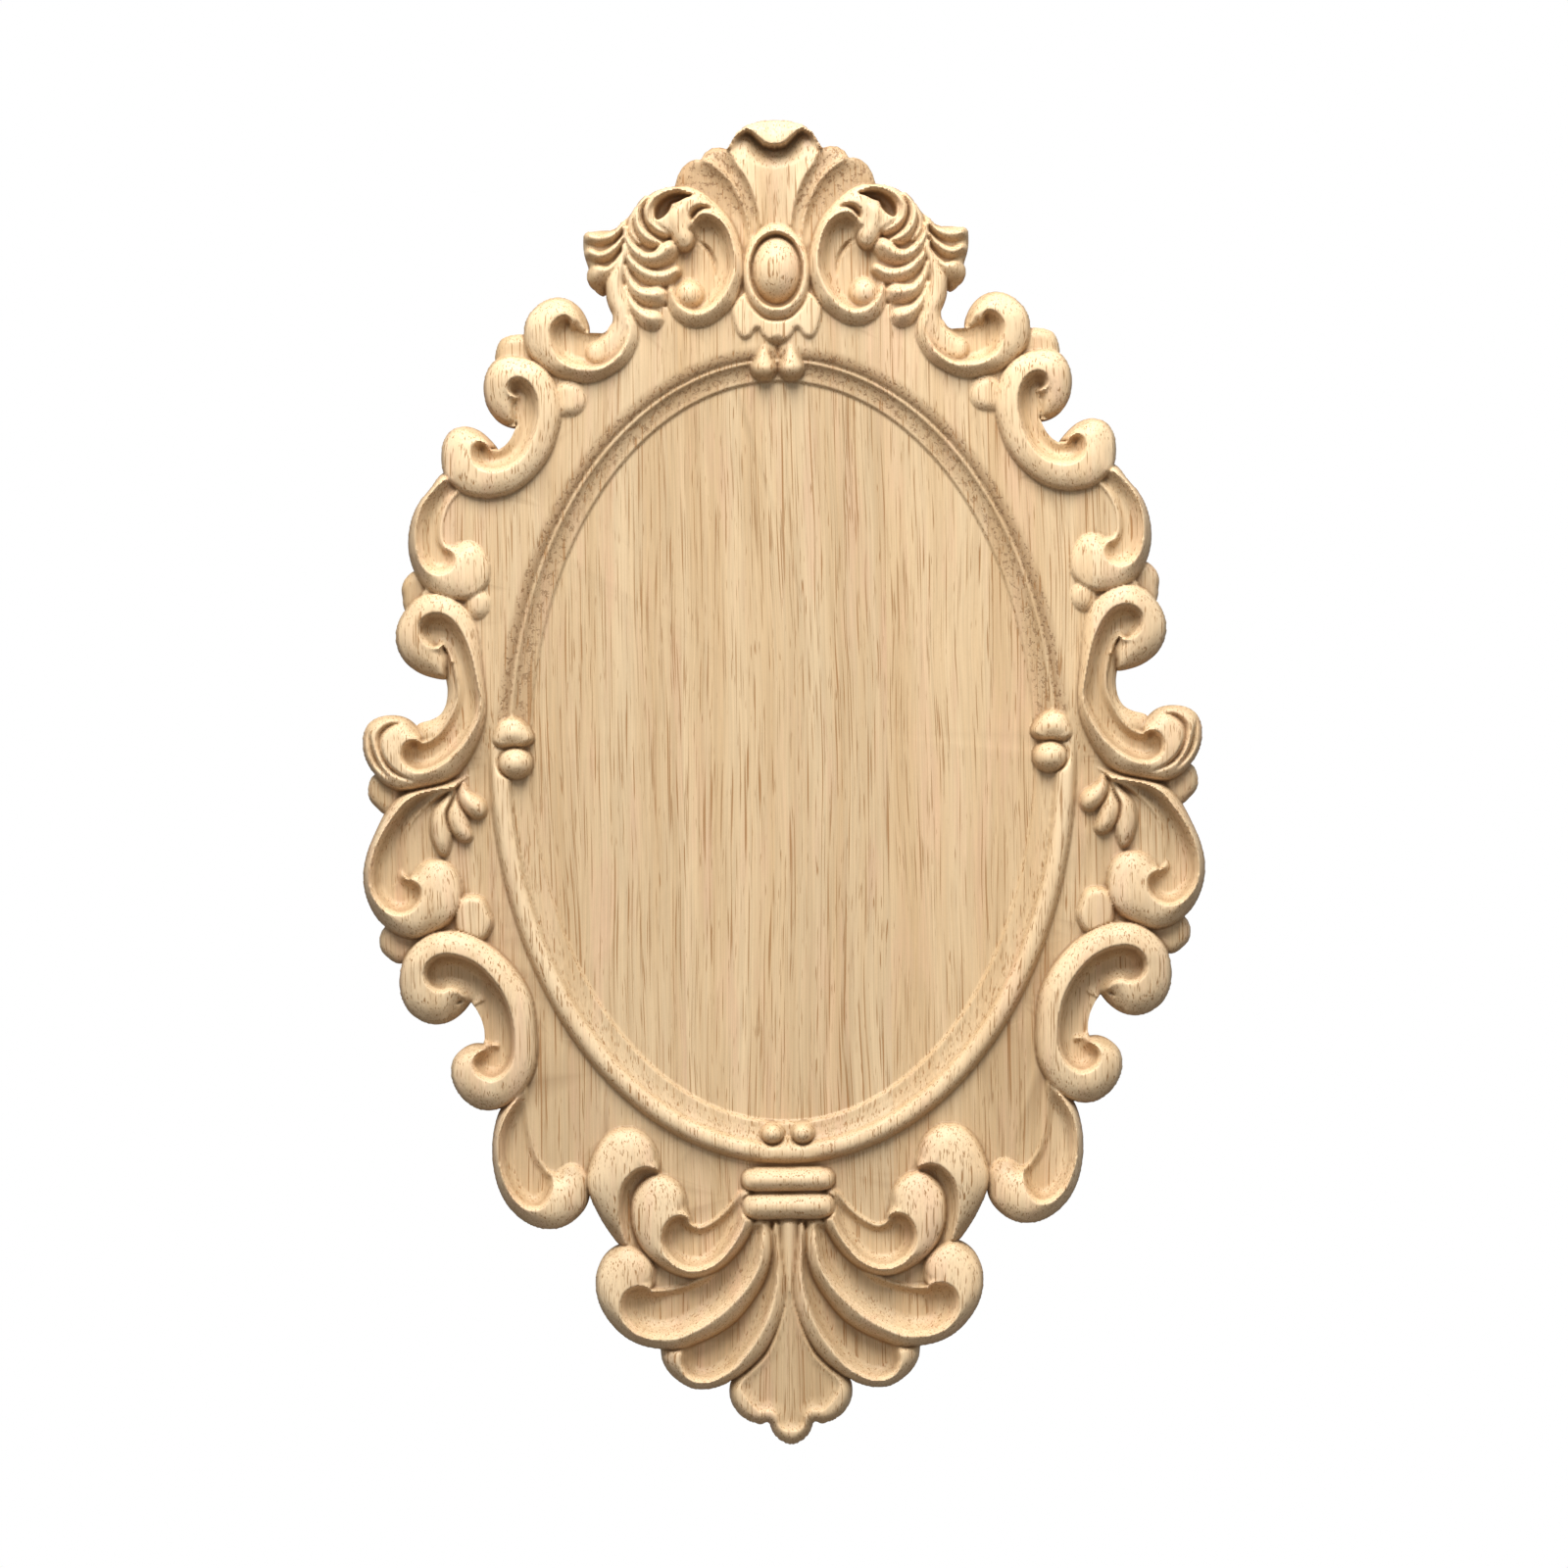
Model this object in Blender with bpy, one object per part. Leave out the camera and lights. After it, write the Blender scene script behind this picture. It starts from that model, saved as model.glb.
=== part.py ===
"""Carved wooden applique: an oval sunk field in a moulding, framed by scrolls and leaves, with a shell
crest and a leaf pendant. One glued-up hardwood board, carved from the front and flat at the back.
The front faces -Y, the flat back lies on Y = 0, +Z is up, and the origin is at mid-height on the axis."""
import bpy
import bmesh
import numpy as np

GRID = 1.25
TRIANGLES = 10400
WOOD = (0.70, 0.50, 0.30, 1.0)
WOOD_ROUGHNESS = 0.62

# heights in millimetres above the back, and the oval's size
FOOT = 5.0
EDGE = 8.0
GROUND_LOW = 10.5
GROUND_HIGH = 13.0
FIELD = 8.0
OVAL_Z = 11.8
OVAL_A = 91.0
OVAL_B = 134.0
TOP = 18.5
ROUNDING = 0.4
GRID_SIDE = 156.0
GRID_RISE = 243.0
FINE = 0.8


def curve(stations, step=1.0, closed=False):
    """Smooth line through a few stations."""
    p = np.array(stations, float)
    if closed:
        q = np.vstack([p[-1], p, p[0], p[1]])
    else:
        q = np.vstack([2 * p[0] - p[1], p, 2 * p[-1] - p[-2]])
    out = []
    for p0, p1, p2, p3 in zip(q[:-3], q[1:-2], q[2:-1], q[3:]):
        spans = ((p0, p1), (p1, p2), (p2, p3))
        a, b, c = (max(np.hypot(*(v - u)[:2]), 1e-6) ** 0.5 for u, v in spans)
        m1 = (p2 - p1) + b * ((p1 - p0) / a - (p2 - p0) / (a + b))
        m2 = (p2 - p1) + b * ((p3 - p2) / c - (p3 - p1) / (b + c))
        n = max(2, int(np.hypot(*(p2 - p1)[:2]) / step) + 1)
        t = np.linspace(0, 1, n, endpoint=False)[:, None]
        out.append((2 * t**3 - 3 * t**2 + 1) * p1 + (t**3 - 2 * t**2 + t) * m1
                   + (3 * t**2 - 2 * t**3) * p2 + (t**3 - t**2) * m2)
    out.append(q[-2][None])
    return np.vstack(out)


def near(line, x, z):
    """Distance of points from a line, their side of it, whether they are past its ends, and the place on it."""
    a, b = line[:-1, :2], line[1:, :2]
    v = b - a
    l2 = np.maximum((v**2).sum(1), 1e-12)
    unit = v / np.sqrt(l2)[:, None]
    tan = np.zeros((len(line), 2))
    tan[:-1] += unit
    tan[1:] += unit
    dist, side, place = np.empty(len(x)), np.empty(len(x)), np.empty(len(x))
    past = np.empty(len(x), bool)
    for i in range(0, len(x), 40000):
        px, pz = x[i:i + 40000, None], z[i:i + 40000, None]
        t = np.clip(((px - a[:, 0]) * v[:, 0] + (pz - a[:, 1]) * v[:, 1]) / l2, 0, 1)
        dx, dz = px - a[:, 0] - t * v[:, 0], pz - a[:, 1] - t * v[:, 1]
        d2 = dx * dx + dz * dz
        k = d2.argmin(1)
        r = np.arange(len(k))
        tk, ex, ez = t[r, k], dx[r, k], dz[r, k]
        tx = tan[k, 0] * (1 - tk) + tan[k + 1, 0] * tk
        tz = tan[k, 1] * (1 - tk) + tan[k + 1, 1] * tk
        along = tx * ex + tz * ez
        dist[i:i + 40000] = np.sqrt(d2[r, k])
        side[i:i + 40000] = tx * ez - tz * ex
        past[i:i + 40000] = ((k == 0) & (tk <= 0) & (along < 0)) | ((k == len(a) - 1) & (tk >= 1) & (along > 0))
        place[i:i + 40000] = k + tk
    return dist, side, past, place


def inside(poly, x, z):
    ok = np.zeros(len(x), bool)
    for a, b in zip(np.roll(poly, 1, 0), poly):
        if a[1] != b[1]:
            ok ^= ((a[1] > z) != (b[1] > z)) & (x < (b[0] - a[0]) * (z - a[1]) / (b[1] - a[1]) + a[0])
    return ok


def ease(u):
    u = np.clip(u, 0, 1)
    return u * u * (3 - 2 * u)


def valley(u):
    return np.clip(np.sin(np.pi * u), 0, 1)


def dome(u, p=2.0):
    """Rise from 0 at the edge to 1, steep at first and then level."""
    return (1 - (1 - np.clip(u, 0, 1)) ** p) ** (1 / p)


def ground(z):
    """Level of the board between the ornaments: a little higher in the upper half."""
    return GROUND_LOW + (GROUND_HIGH - GROUND_LOW) * ease((z - 5) / 25)


def both(stations):
    """Stations of the left half, from the axis round to the axis again, followed by their mirror image."""
    return list(stations) + [(-x, z) for x, z in stations[::-1] if abs(x) > 1e-6]


class Relief:
    """Left half of the carving: height H above the back, and depth S inside the outline."""

    def __init__(self, step):
        self.step = step
        nx, nz = int(GRID_SIDE / step) + 1, int(GRID_RISE / step)
        self.xs = -np.arange(nx)[::-1] * step
        self.zs = np.arange(-nz, nz + 1) * step
        self.X, self.Z = np.meshgrid(self.xs, self.zs)
        self.H = np.zeros_like(self.X)
        self.S = np.full_like(self.X, -50.0)

    def window(self, pts, pad):
        x0, z0 = pts[:, :2].min(0) - pad
        x1, z1 = pts[:, :2].max(0) + pad
        i0, i1 = np.searchsorted(self.xs, (x0, x1))
        j0, j1 = np.searchsorted(self.zs, (z0, z1))
        w = (slice(j0, j1 + 1), slice(i0, i1 + 1))
        return w, self.X[w].ravel(), self.Z[w].ravel()

    def footprint(self, poly):
        """Grid window of a closed outline, its points, and their depth inside the outline."""
        w, x, z = self.window(poly, 4.0)
        d = near(np.vstack([poly, poly[:1]]), x, z)[0]
        return w, x, z, np.where(inside(poly, x, z), d, -d)

    def lay(self, w, depth, height, how="over"):
        """Sets a shape over what is below it, only where it is higher or lower, or cut right into it."""
        depth, height = depth.reshape(self.X[w].shape), height.reshape(self.X[w].shape)
        below = self.H[w]
        if how == "over":
            new = np.maximum(height, np.minimum(below, ground(self.Z[w])))
        elif how == "max":
            new = np.maximum(height, below)
        elif how == "min":
            new = np.minimum(height, below)
        else:
            new = height
        share = np.where(below > 0, np.clip(depth / self.step + 0.5, 0, 1), 0)
        bare = (below <= 0) & (depth > -2.5 * self.step) & (how != "min")
        self.H[w] = np.where(bare, height, below + (new - below) * share)
        if how != "min":
            self.S[w] = np.maximum(self.S[w], depth)

    def soften(self, w, depth, height, reach):
        """Rounds a shape's inner creases over a reach, and keeps its edge."""
        shape = self.X[w].shape
        soft = smooth(height.reshape(shape), depth.reshape(shape) > 0, reach / self.step).ravel()
        return height + (soft - height) * ease(depth / reach - 0.8)

    def lobe(self, edge, top, width, foot=FOOT, how="over", p=2.0):
        """Pillow with a smooth outline, rounded over a given width inside its edge."""
        w, x, z, depth = self.footprint(curve(edge, 1.0, True)[:-1])
        height = foot + (top - foot) * dome(depth / width, p)
        self.lay(w, depth, self.soften(w, depth, height, 0.3 * width), how)

    def dish(self, edge, rim, sunk, width):
        """Hollow inside a smooth outline."""
        w, x, z, depth = self.footprint(curve(edge, 1.0, True)[:-1])
        self.lay(w, depth, rim - sunk * dome(depth / width), "min")

    def ball(self, cx, cz, rx, rz, top, foot=FOOT, how="max", turn=0.0):
        """Round or egg-shaped bead."""
        c, s = np.cos(np.radians(turn)), np.sin(np.radians(turn))
        a = np.radians(np.arange(0, 360, 10))
        poly = np.c_[cx + rx * np.cos(a) * c - rz * np.sin(a) * s,
                     cz + rx * np.cos(a) * s + rz * np.sin(a) * c]
        w, x, z, depth = self.footprint(poly)
        u, v = ((x - cx) * c + (z - cz) * s) / rx, ((z - cz) * c - (x - cx) * s) / rz
        self.lay(w, depth, foot + (top - foot) * np.sqrt(np.clip(1 - u * u - v * v, 0, 1)), how)

    def strand(self, stations, top=TOP, foot=FOOT, how="max", p=2.0, q=None):
        """Strand through stations x, z, width on its left, width on its right, and height.
        Its sides are round where p (left) and q (right) are 2, and straight where they are 1."""
        line = curve(stations, FINE)
        w, x, z = self.window(line, line[:, 2:4].max() + 3)
        d, side, past, place = near(line, x, z)
        n = np.arange(len(line))
        left = np.interp(place, n, line[:, 2])
        right = np.interp(place, n, line[:, 3]) if line.shape[1] > 3 else left
        top = np.interp(place, n, line[:, 4]) if line.shape[1] > 4 else top
        s = np.clip(side / np.maximum(d, 1e-6), -1, 1)
        width = np.where(past, right + (left - right) * (0.5 + 0.5 * s), np.where(side > 0, left, right))
        rise = np.where(side > 0, dome(1 - d / width, p), dome(1 - d / width, q or p))
        self.lay(w, width - d, foot + (top - foot) * rise, how)

    def beside(self, line, outward):
        """Level of what already lies just beyond a line, or the height of the free edge where nothing does."""
        tan = np.gradient(line[:, :2], axis=0)
        tan /= np.maximum(np.hypot(tan[:, 0], tan[:, 1]), 1e-6)[:, None]
        q = line[:, :2] + 2.0 * outward * np.c_[-tan[:, 1], tan[:, 0]]
        i = np.clip(np.rint((q[:, 0] - self.xs[0]) / self.step).astype(int), 0, len(self.xs) - 1)
        j = np.clip(np.rint((q[:, 1] - self.zs[0]) / self.step).astype(int), 0, len(self.zs) - 1)
        level = np.where(self.S[j, i] > 0, np.minimum(self.H[j, i], ground(q[:, 1]) + 2.0) - 0.6, EDGE)
        k = np.ones(7) / 7
        return np.convolve(np.pad(level, 3, mode="edge"), k, mode="valid")

    def scroll(self, outer, rim, ridge, floor, lip, wall=4.8, q=1.7):
        """Hollowed scroll: a flank from the outer edge up to the ridge, then a cove down to the rim.
        Ridge stations are x, z and height. Floor and lip are heights above the ground, and lip may be
        a pair, for the start and the end of the rim."""
        o, r, c = curve(outer), curve(rim), curve(ridge, FINE)
        w, x, z, depth = self.footprint(np.vstack([o, r]))
        dc, side, past, place = near(c, x, z)
        do, _, _, po = near(o, x, z)
        dr, _, _, pr = near(r, x, z)
        mid = o[len(o) // 2:len(o) // 2 + 1]
        sign = np.sign(near(c, mid[:, 0], mid[:, 1])[1][0])
        step_in = c[len(c) // 2:len(c) // 2 + 1]
        foot = self.beside(o, -np.sign(near(o, step_in[:, 0], step_in[:, 1])[1][0]))
        foot = np.interp(po, np.arange(len(o)), foot)
        side = side * sign
        # past the ridge's ends, what lies nearest to the outer edge is flank, and the rest is cove
        fan = ease(0.5 + 0.5 * side / np.maximum(dc, 1e-6))
        far = ease(dc / 4)
        faded = (1 - far) * fan + far * np.minimum(fan, ease(0.5 + (np.minimum(dr, dc) - do) / 2))
        # where ridge, edge and rim end in one tip, the flank ends at the crease that runs on from it
        tips = np.hypot(*(c[[0, -1], :2] - o[[0, -1]]).T) < 0.6
        tipped = np.where(place < len(c) / 2, tips[0], tips[1])
        outward = np.where(past, np.where(tipped, ease((dr - do) / 0.3), faded), side > 0)
        top = np.interp(place, np.arange(len(c)), c[:, 2])
        u = np.where(depth > 0, do / np.maximum(do + dc, 1e-6), 0)
        p = 1.3 + 1.3 * ease((do + dc - 4) / 6)
        flank = foot + (top - foot) * dome(u, p)
        soft = self.soften(w, depth, flank, 1.4)
        flank = flank + (soft - flank) * ease((do + dc) / 4 - 1.2) * ease(dc / 2)
        bed, end = ground(z) + floor, ground(z) + np.interp(pr / (len(r) - 1), [0, 1],
                                                            np.broadcast_to(lip, 2))
        # the wall of the cove is steep under the ridge's tips
        tip = np.minimum(place, len(c) - 1 - place) * FINE
        reach = wall * np.where(tipped, 0.3 + 0.7 * ease(tip / 9), 1)
        cove = bed + (top - bed) * (1 - dome(dc / reach, q)) + (end - bed) * ease(1 - dr / 3.5)
        cove = np.where(depth > 0, cove, end)
        self.lay(w, depth, outward * flank + (1 - outward) * cove, "cut")

    def groove(self, stations):
        """V cut through stations x, z, half width and depth."""
        line = curve(stations, FINE)
        w, x, z = self.window(line, line[:, 2].max() + 1)
        d, side, past, place = near(line, x, z)
        n = np.arange(len(line))
        half = np.maximum(np.interp(place, n, line[:, 2]), 0.05)
        cut = np.interp(place, n, line[:, 3]) * np.clip(1 - d / half, 0, 1)
        self.H[w] = np.where(self.H[w] > 0, self.H[w] - cut.reshape(self.X[w].shape), self.H[w])


def board(R):
    """Board left standing between the ornaments."""
    edge = np.array([(1, 172), (-30, 172), (-50, 172), (-58, 175), (-59.6, 168), (-60, 166), (-63, 164.1),
                     (-68.4, 164.3),
                     (-74, 160), (-84, 154), (-98, 150), (-84, 146), (-84, 120), (-92, 112), (-112, 109),
                     (-120, 110), (-126, 101),
                     (-128, 90), (-125, 76), (-130, 68), (-118, 64), (-112, 52), (-109.5, 40),
                     (-109.5, 25), (-115, 11),
                     (-124, 4), (-140, -8), (-146, -22), (-146, -36), (-138, -50), (-124, -54),
                     (-112, -58), (-100, -68),
                     (-94, -85), (-94, -98), (-101, -112), (-103, -126), (-102, -140), (-95, -152),
                     (-82, -154), (-73, -146),
                     (-66, -142), (-60, -160), (-58, -175), (-60, -190), (-48, -199), (-28, -206),
                     (-16, -209), (-8, -215), (1, -220)], float)
    w, x, z, depth = R.footprint(edge)
    R.lay(w, depth, ground(z), "max")
    crest = np.array([(1, 165), (-52, 168), (-57, 185), (-58, 200), (-52, 207), (-44, 214), (-30, 214),
                      (-20, 205), (1, 205)], float)
    w, x, z, depth = R.footprint(crest)
    R.lay(w, depth, np.full(len(x), 11.5), "max")


def moulding(R):
    """Sunk oval field and the moulding round it."""
    k = np.sqrt((R.X / OVAL_A) ** 2 + ((R.Z - OVAL_Z) / OVAL_B) ** 2)
    d = k * (k - 1) / np.maximum(np.sqrt((R.X / OVAL_A**2) ** 2 + ((R.Z - OVAL_Z) / OVAL_B**2) ** 2), 1e-6)
    level = ground(R.Z)
    # upper half: the board rolls down to a fillet, then a cove and a step to the field
    roll = FIELD + 2.9 + (level - FIELD - 2.9) * dome((d - 8.5) / 5.5)
    cove = FIELD + np.interp(d, [0, 0.7, 2.5, 5.0, 6.6, 7.2, 7.9, 8.5],
                             [0, 1.2, 1.1, 1.7, 2.6, 3.5, 3.5, 2.9])
    upper = np.where(d > 8.5, roll, cove)
    # lower half: a bright edge, a gentle cove, an incised line and a bead with a round outer flank
    bead = FIELD + 3.6 + 3.2 * np.sqrt(np.clip(1 - ((d - 11.6) / 4.0) ** 2, 0, 1))
    drop = np.sqrt(np.clip(1 - ((d - 11.6) / 3.9) ** 2, 0, 1))
    flank = np.maximum(level, level - 1 + (FIELD + 7.8 - level) * drop)
    trough = FIELD + np.interp(d, [0, 0.9, 3.0, 6.0, 7.6], [0, 1.7, 1.9, 2.7, 3.6])
    lower = np.where(d > 11.6, flank, np.where(d > 7.6, bead, trough))
    lower = lower - 0.7 * np.clip(1 - np.abs(d - 7.8) / 0.6, 0, 1)
    share = 1 - ease((R.Z - 2) / 20)
    R.H = np.where((d < 15.4) & (R.H > 0), lower * share + upper * (1 - share), R.H)


def side_beads(R):
    R.lobe([(-105.3, 16.5), (-104.6, 20.5), (-102.8, 24.2), (-99.0, 26.0), (-94.6, 25.0), (-91.2, 21.2),
            (-90.2, 17.2), (-93.5, 14.4), (-99, 13.9), (-103, 14.2)], 17.0, 5.8, foot=9)
    R.ball(-97.0, 8.8, 6.5, 6.1, 17.5, foot=9, how="over")


def top_beads(R):
    R.strand([(-4.6, 159.6, 2.0, 2.4, 13.0), (-4.8, 155.6, 3.7, 4.0, 14.4), (-5.0, 151.2, 5.1, 5.0, 15.8)],
             foot=8)
    R.groove([(0, 159.2, 3.4, 2.4), (0, 157.6, 2.0, 2.8), (0, 155.0, 0.4, 1.2)])


def bottom_beads(R):
    R.strand([(-18, -131.6, 3.0, 3.0, 14.4), (-11, -133.6, 3.2, 3.2, 14.6), (-5.5, -134.2, 2.6, 2.8, 14.8),
              (-1.6, -131.6, 1.8, 1.8, 14.5), (-0.4, -128.0, 0.5, 0.5, 13)], foot=9.5)
    R.ball(-5.5, -126.7, 4.6, 4.3, 16.0, foot=8, how="over")


def collar(R):
    for low, high in ((-147.8, -138.8), (-157.8, -147.8)):
        m = (low + high) / 2
        half = [(0, high), (-12.5, high - 0.1), (-15.8, high - 1.4), (-17.0, m), (-15.8, low + 1.4),
                (-12.5, low + 0.1), (0, low)]
        R.lobe(both(half), 18.0, (high - low) / 2, foot=10)


def shell(R):
    """Fan of flutes under a rolled lip."""
    side = [(0, 240.5), (-5, 240.1), (-10, 238.6), (-13.8, 235.6), (-16.6, 230.9), (-17.3, 230.2),
            (-20, 231.0), (-22.7, 230.8), (-25.4, 229.0),
            (-26.8, 226.4), (-28.7, 226.6), (-31.2, 225.9), (-33.6, 223.9), (-35.3, 221), (-36.4, 217.3),
            (-30, 212), (-20, 203), (-14, 192), (0, 186)]
    w, x, z, depth = R.footprint(np.array(both(side), float))
    first = curve([(-17.4, 232), (-15.6, 229), (-13, 223.4), (-10, 218.8), (-7.6, 213), (-6.0, 207),
                   (-5.2, 200)], FINE)
    second = curve([(-29.5, 227.4), (-26.2, 226.2), (-20.5, 222.6), (-15.6, 217.4), (-12.8, 212.0),
                    (-10.4, 205), (-9.0, 197)], FINE)
    third = curve([(-40, 218.5), (-33.6, 217), (-25, 213.8), (-19, 208.4), (-14.5, 202)], FINE)
    d1, s1 = near(first, x, z)[:2]
    d2, s2 = near(second, x, z)[:2]
    d3 = near(third, x, z)[0]
    dm = near(first * [-1, 1], x, z)[0]
    ridge = 14.2 + 2.0 * ease((z - 195) / 40)
    middle = ridge - 0.2 - 1.8 * valley(d1 / (d1 + dm)) ** 0.7
    flute = ridge - 2.6 * valley(d1 / (d1 + d2)) ** 0.6
    last = ridge - 2.9 * valley(np.clip(d2 / (d2 + d3), 0, 0.6)) ** 0.6
    h = np.where(s1 >= 0, middle, np.where(s2 >= 0, flute, last))
    # the scalloped edge of the side flutes leans back
    h = h - np.where(s1 < 0, 3.0 * (1 - dome(depth / 4.0)), 0)
    # hollow under the lip, and the lip itself
    lower = curve([(2, 230.6), (0, 230.5), (-4.3, 231.5), (-7, 234.5), (-10, 236.3), (-13.8, 234.4),
                   (-16.0, 231.4), (-18, 228)], FINE)
    dl = near(lower, -np.abs(x), z)[0]
    bound = np.interp(-np.abs(x), [-18, -16.2, -13.8, -11.8, -10, -8.4, -7, -4.3, -2.2, 0],
                      [228, 231.0, 234.6, 235.9, 236.3, 235.8, 234.5, 231.5, 230.7, 230.5])
    lip = (z > bound) & (np.abs(x) < 17.2)
    deep = 5.0 * np.clip(1 - dl / 8, 0, 1) ** 1.3 * np.clip(1.5 - np.abs(x) / 14, 0, 1) * ease(depth / 2.5)
    h = np.where(~lip & (s1 >= 0), h - deep, h)
    h = np.where(lip, 12.0 + 6.5 * dome(depth / np.maximum(depth + dl, 1e-6)), h)
    R.lay(w, depth, h)


def cabochon(R):
    """Egg in a rounded ring."""
    R.lobe(both([(0, 203.5), (-5, 202), (-9.5, 197.5), (-12.2, 191), (-12.9, 184), (-11.8, 177.5),
                 (-8.5, 171.5), (-4.5, 168.2), (0, 167.4)]), 17.0, 4.6, foot=8)
    R.dish(both([(0, 199.6), (-6.0, 196.9), (-9.7, 188.5), (-8.9, 179.5), (-5.4, 174.0), (0, 172.0)]),
           15.6, 4.6, 2.2)
    R.ball(0, 186.4, 9.3, 12.6, 18.5, foot=9)


def bib(R):
    """Low three-lobed leaf under the egg."""
    R.lobe(both([(0, 180), (-12, 178), (-16.5, 172), (-16.2, 168.3), (-15.4, 165.2), (-14.0, 162.2),
                 (-12, 160.9), (-9.5, 161.7), (-7.2, 164.6),
                 (-5.8, 162.4), (-4.0, 160.5), (-2.0, 159.4), (0, 159.0)]), 14.8, 1.6, foot=11)


def crest_scroll(R):
    """C-scroll beside the egg, with a ball in its lower end and a rolled upper end."""
    outer = [(-38, 206), (-40, 211), (-39, 215), (-36, 216.9), (-30, 216.3), (-22, 211.3), (-16, 204.5),
             (-13, 197), (-12.1, 190), (-12.6, 182), (-15, 175),
             (-20, 169), (-26, 165.7), (-32.5, 165.8), (-37.8, 169.5), (-40.2, 175), (-39.5, 180.5)]
    rim = [(-37.5, 184), (-37, 190), (-37, 196), (-37.5, 201)]
    ridge = [(-38.4, 179, 16), (-36.4, 174.8, 16.5), (-33.2, 172.0, 17), (-29.3, 170.6, 17.5),
             (-24.5, 171.8, 18), (-20, 176, TOP), (-16.8, 181.5, TOP), (-15.2, 188, TOP),
             (-16.0, 195.5, TOP), (-18.0, 201.0, TOP), (-21.5, 204.8, TOP), (-26, 206.0, TOP),
             (-29.5, 204.3, 18), (-31, 201.5, 17)]
    R.scroll(outer, rim, ridge, -2.0, -1.0)
    R.ball(-31.8, 177.6, 5.8, 6.0, 16.2, foot=9)
    R.lobe([(-46.0, 207.4), (-45.4, 204.4), (-43.4, 201.6), (-40.6, 199.8), (-38.0, 198.6), (-35.0, 199),
            (-34, 203), (-35, 209), (-38, 211.5), (-43, 211)],
           17.0, 2.4, foot=11, p=2.2)
    R.lobe([(-40.2, 203), (-40.4, 206), (-38.8, 209.6), (-35.2, 212.0), (-30.6, 213.1), (-26, 213.2),
            (-22.4, 211.4), (-20.4, 209.9), (-24, 209.9),
            (-27.6, 209.4), (-30.2, 207.6), (-31.0, 204.6), (-30.4, 201.5), (-29.3, 198.5), (-29.7, 195.4),
            (-32, 193.3), (-34.6, 193.3), (-37.0, 195.8),
            (-38.8, 199.4)], 18.7, 4.4, foot=9, how="max", p=2.2)
    R.groove([(-29.0, 197.8, 0.3, 0.4), (-25.2, 194.8, 1.0, 2.2), (-22.9, 191, 1.0, 2.0),
              (-22.0, 186.8, 0.8, 1.2), (-22.2, 183, 0.3, 0.3)])
    R.groove([(-30.4, 203.0, 0.5, 1.5), (-30.0, 205.8, 1.7, 5.5), (-28.0, 208.0, 1.8, 5.0),
              (-25.0, 208.7, 1.2, 3.2), (-21.5, 207.9, 0.3, 0.5)])


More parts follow.
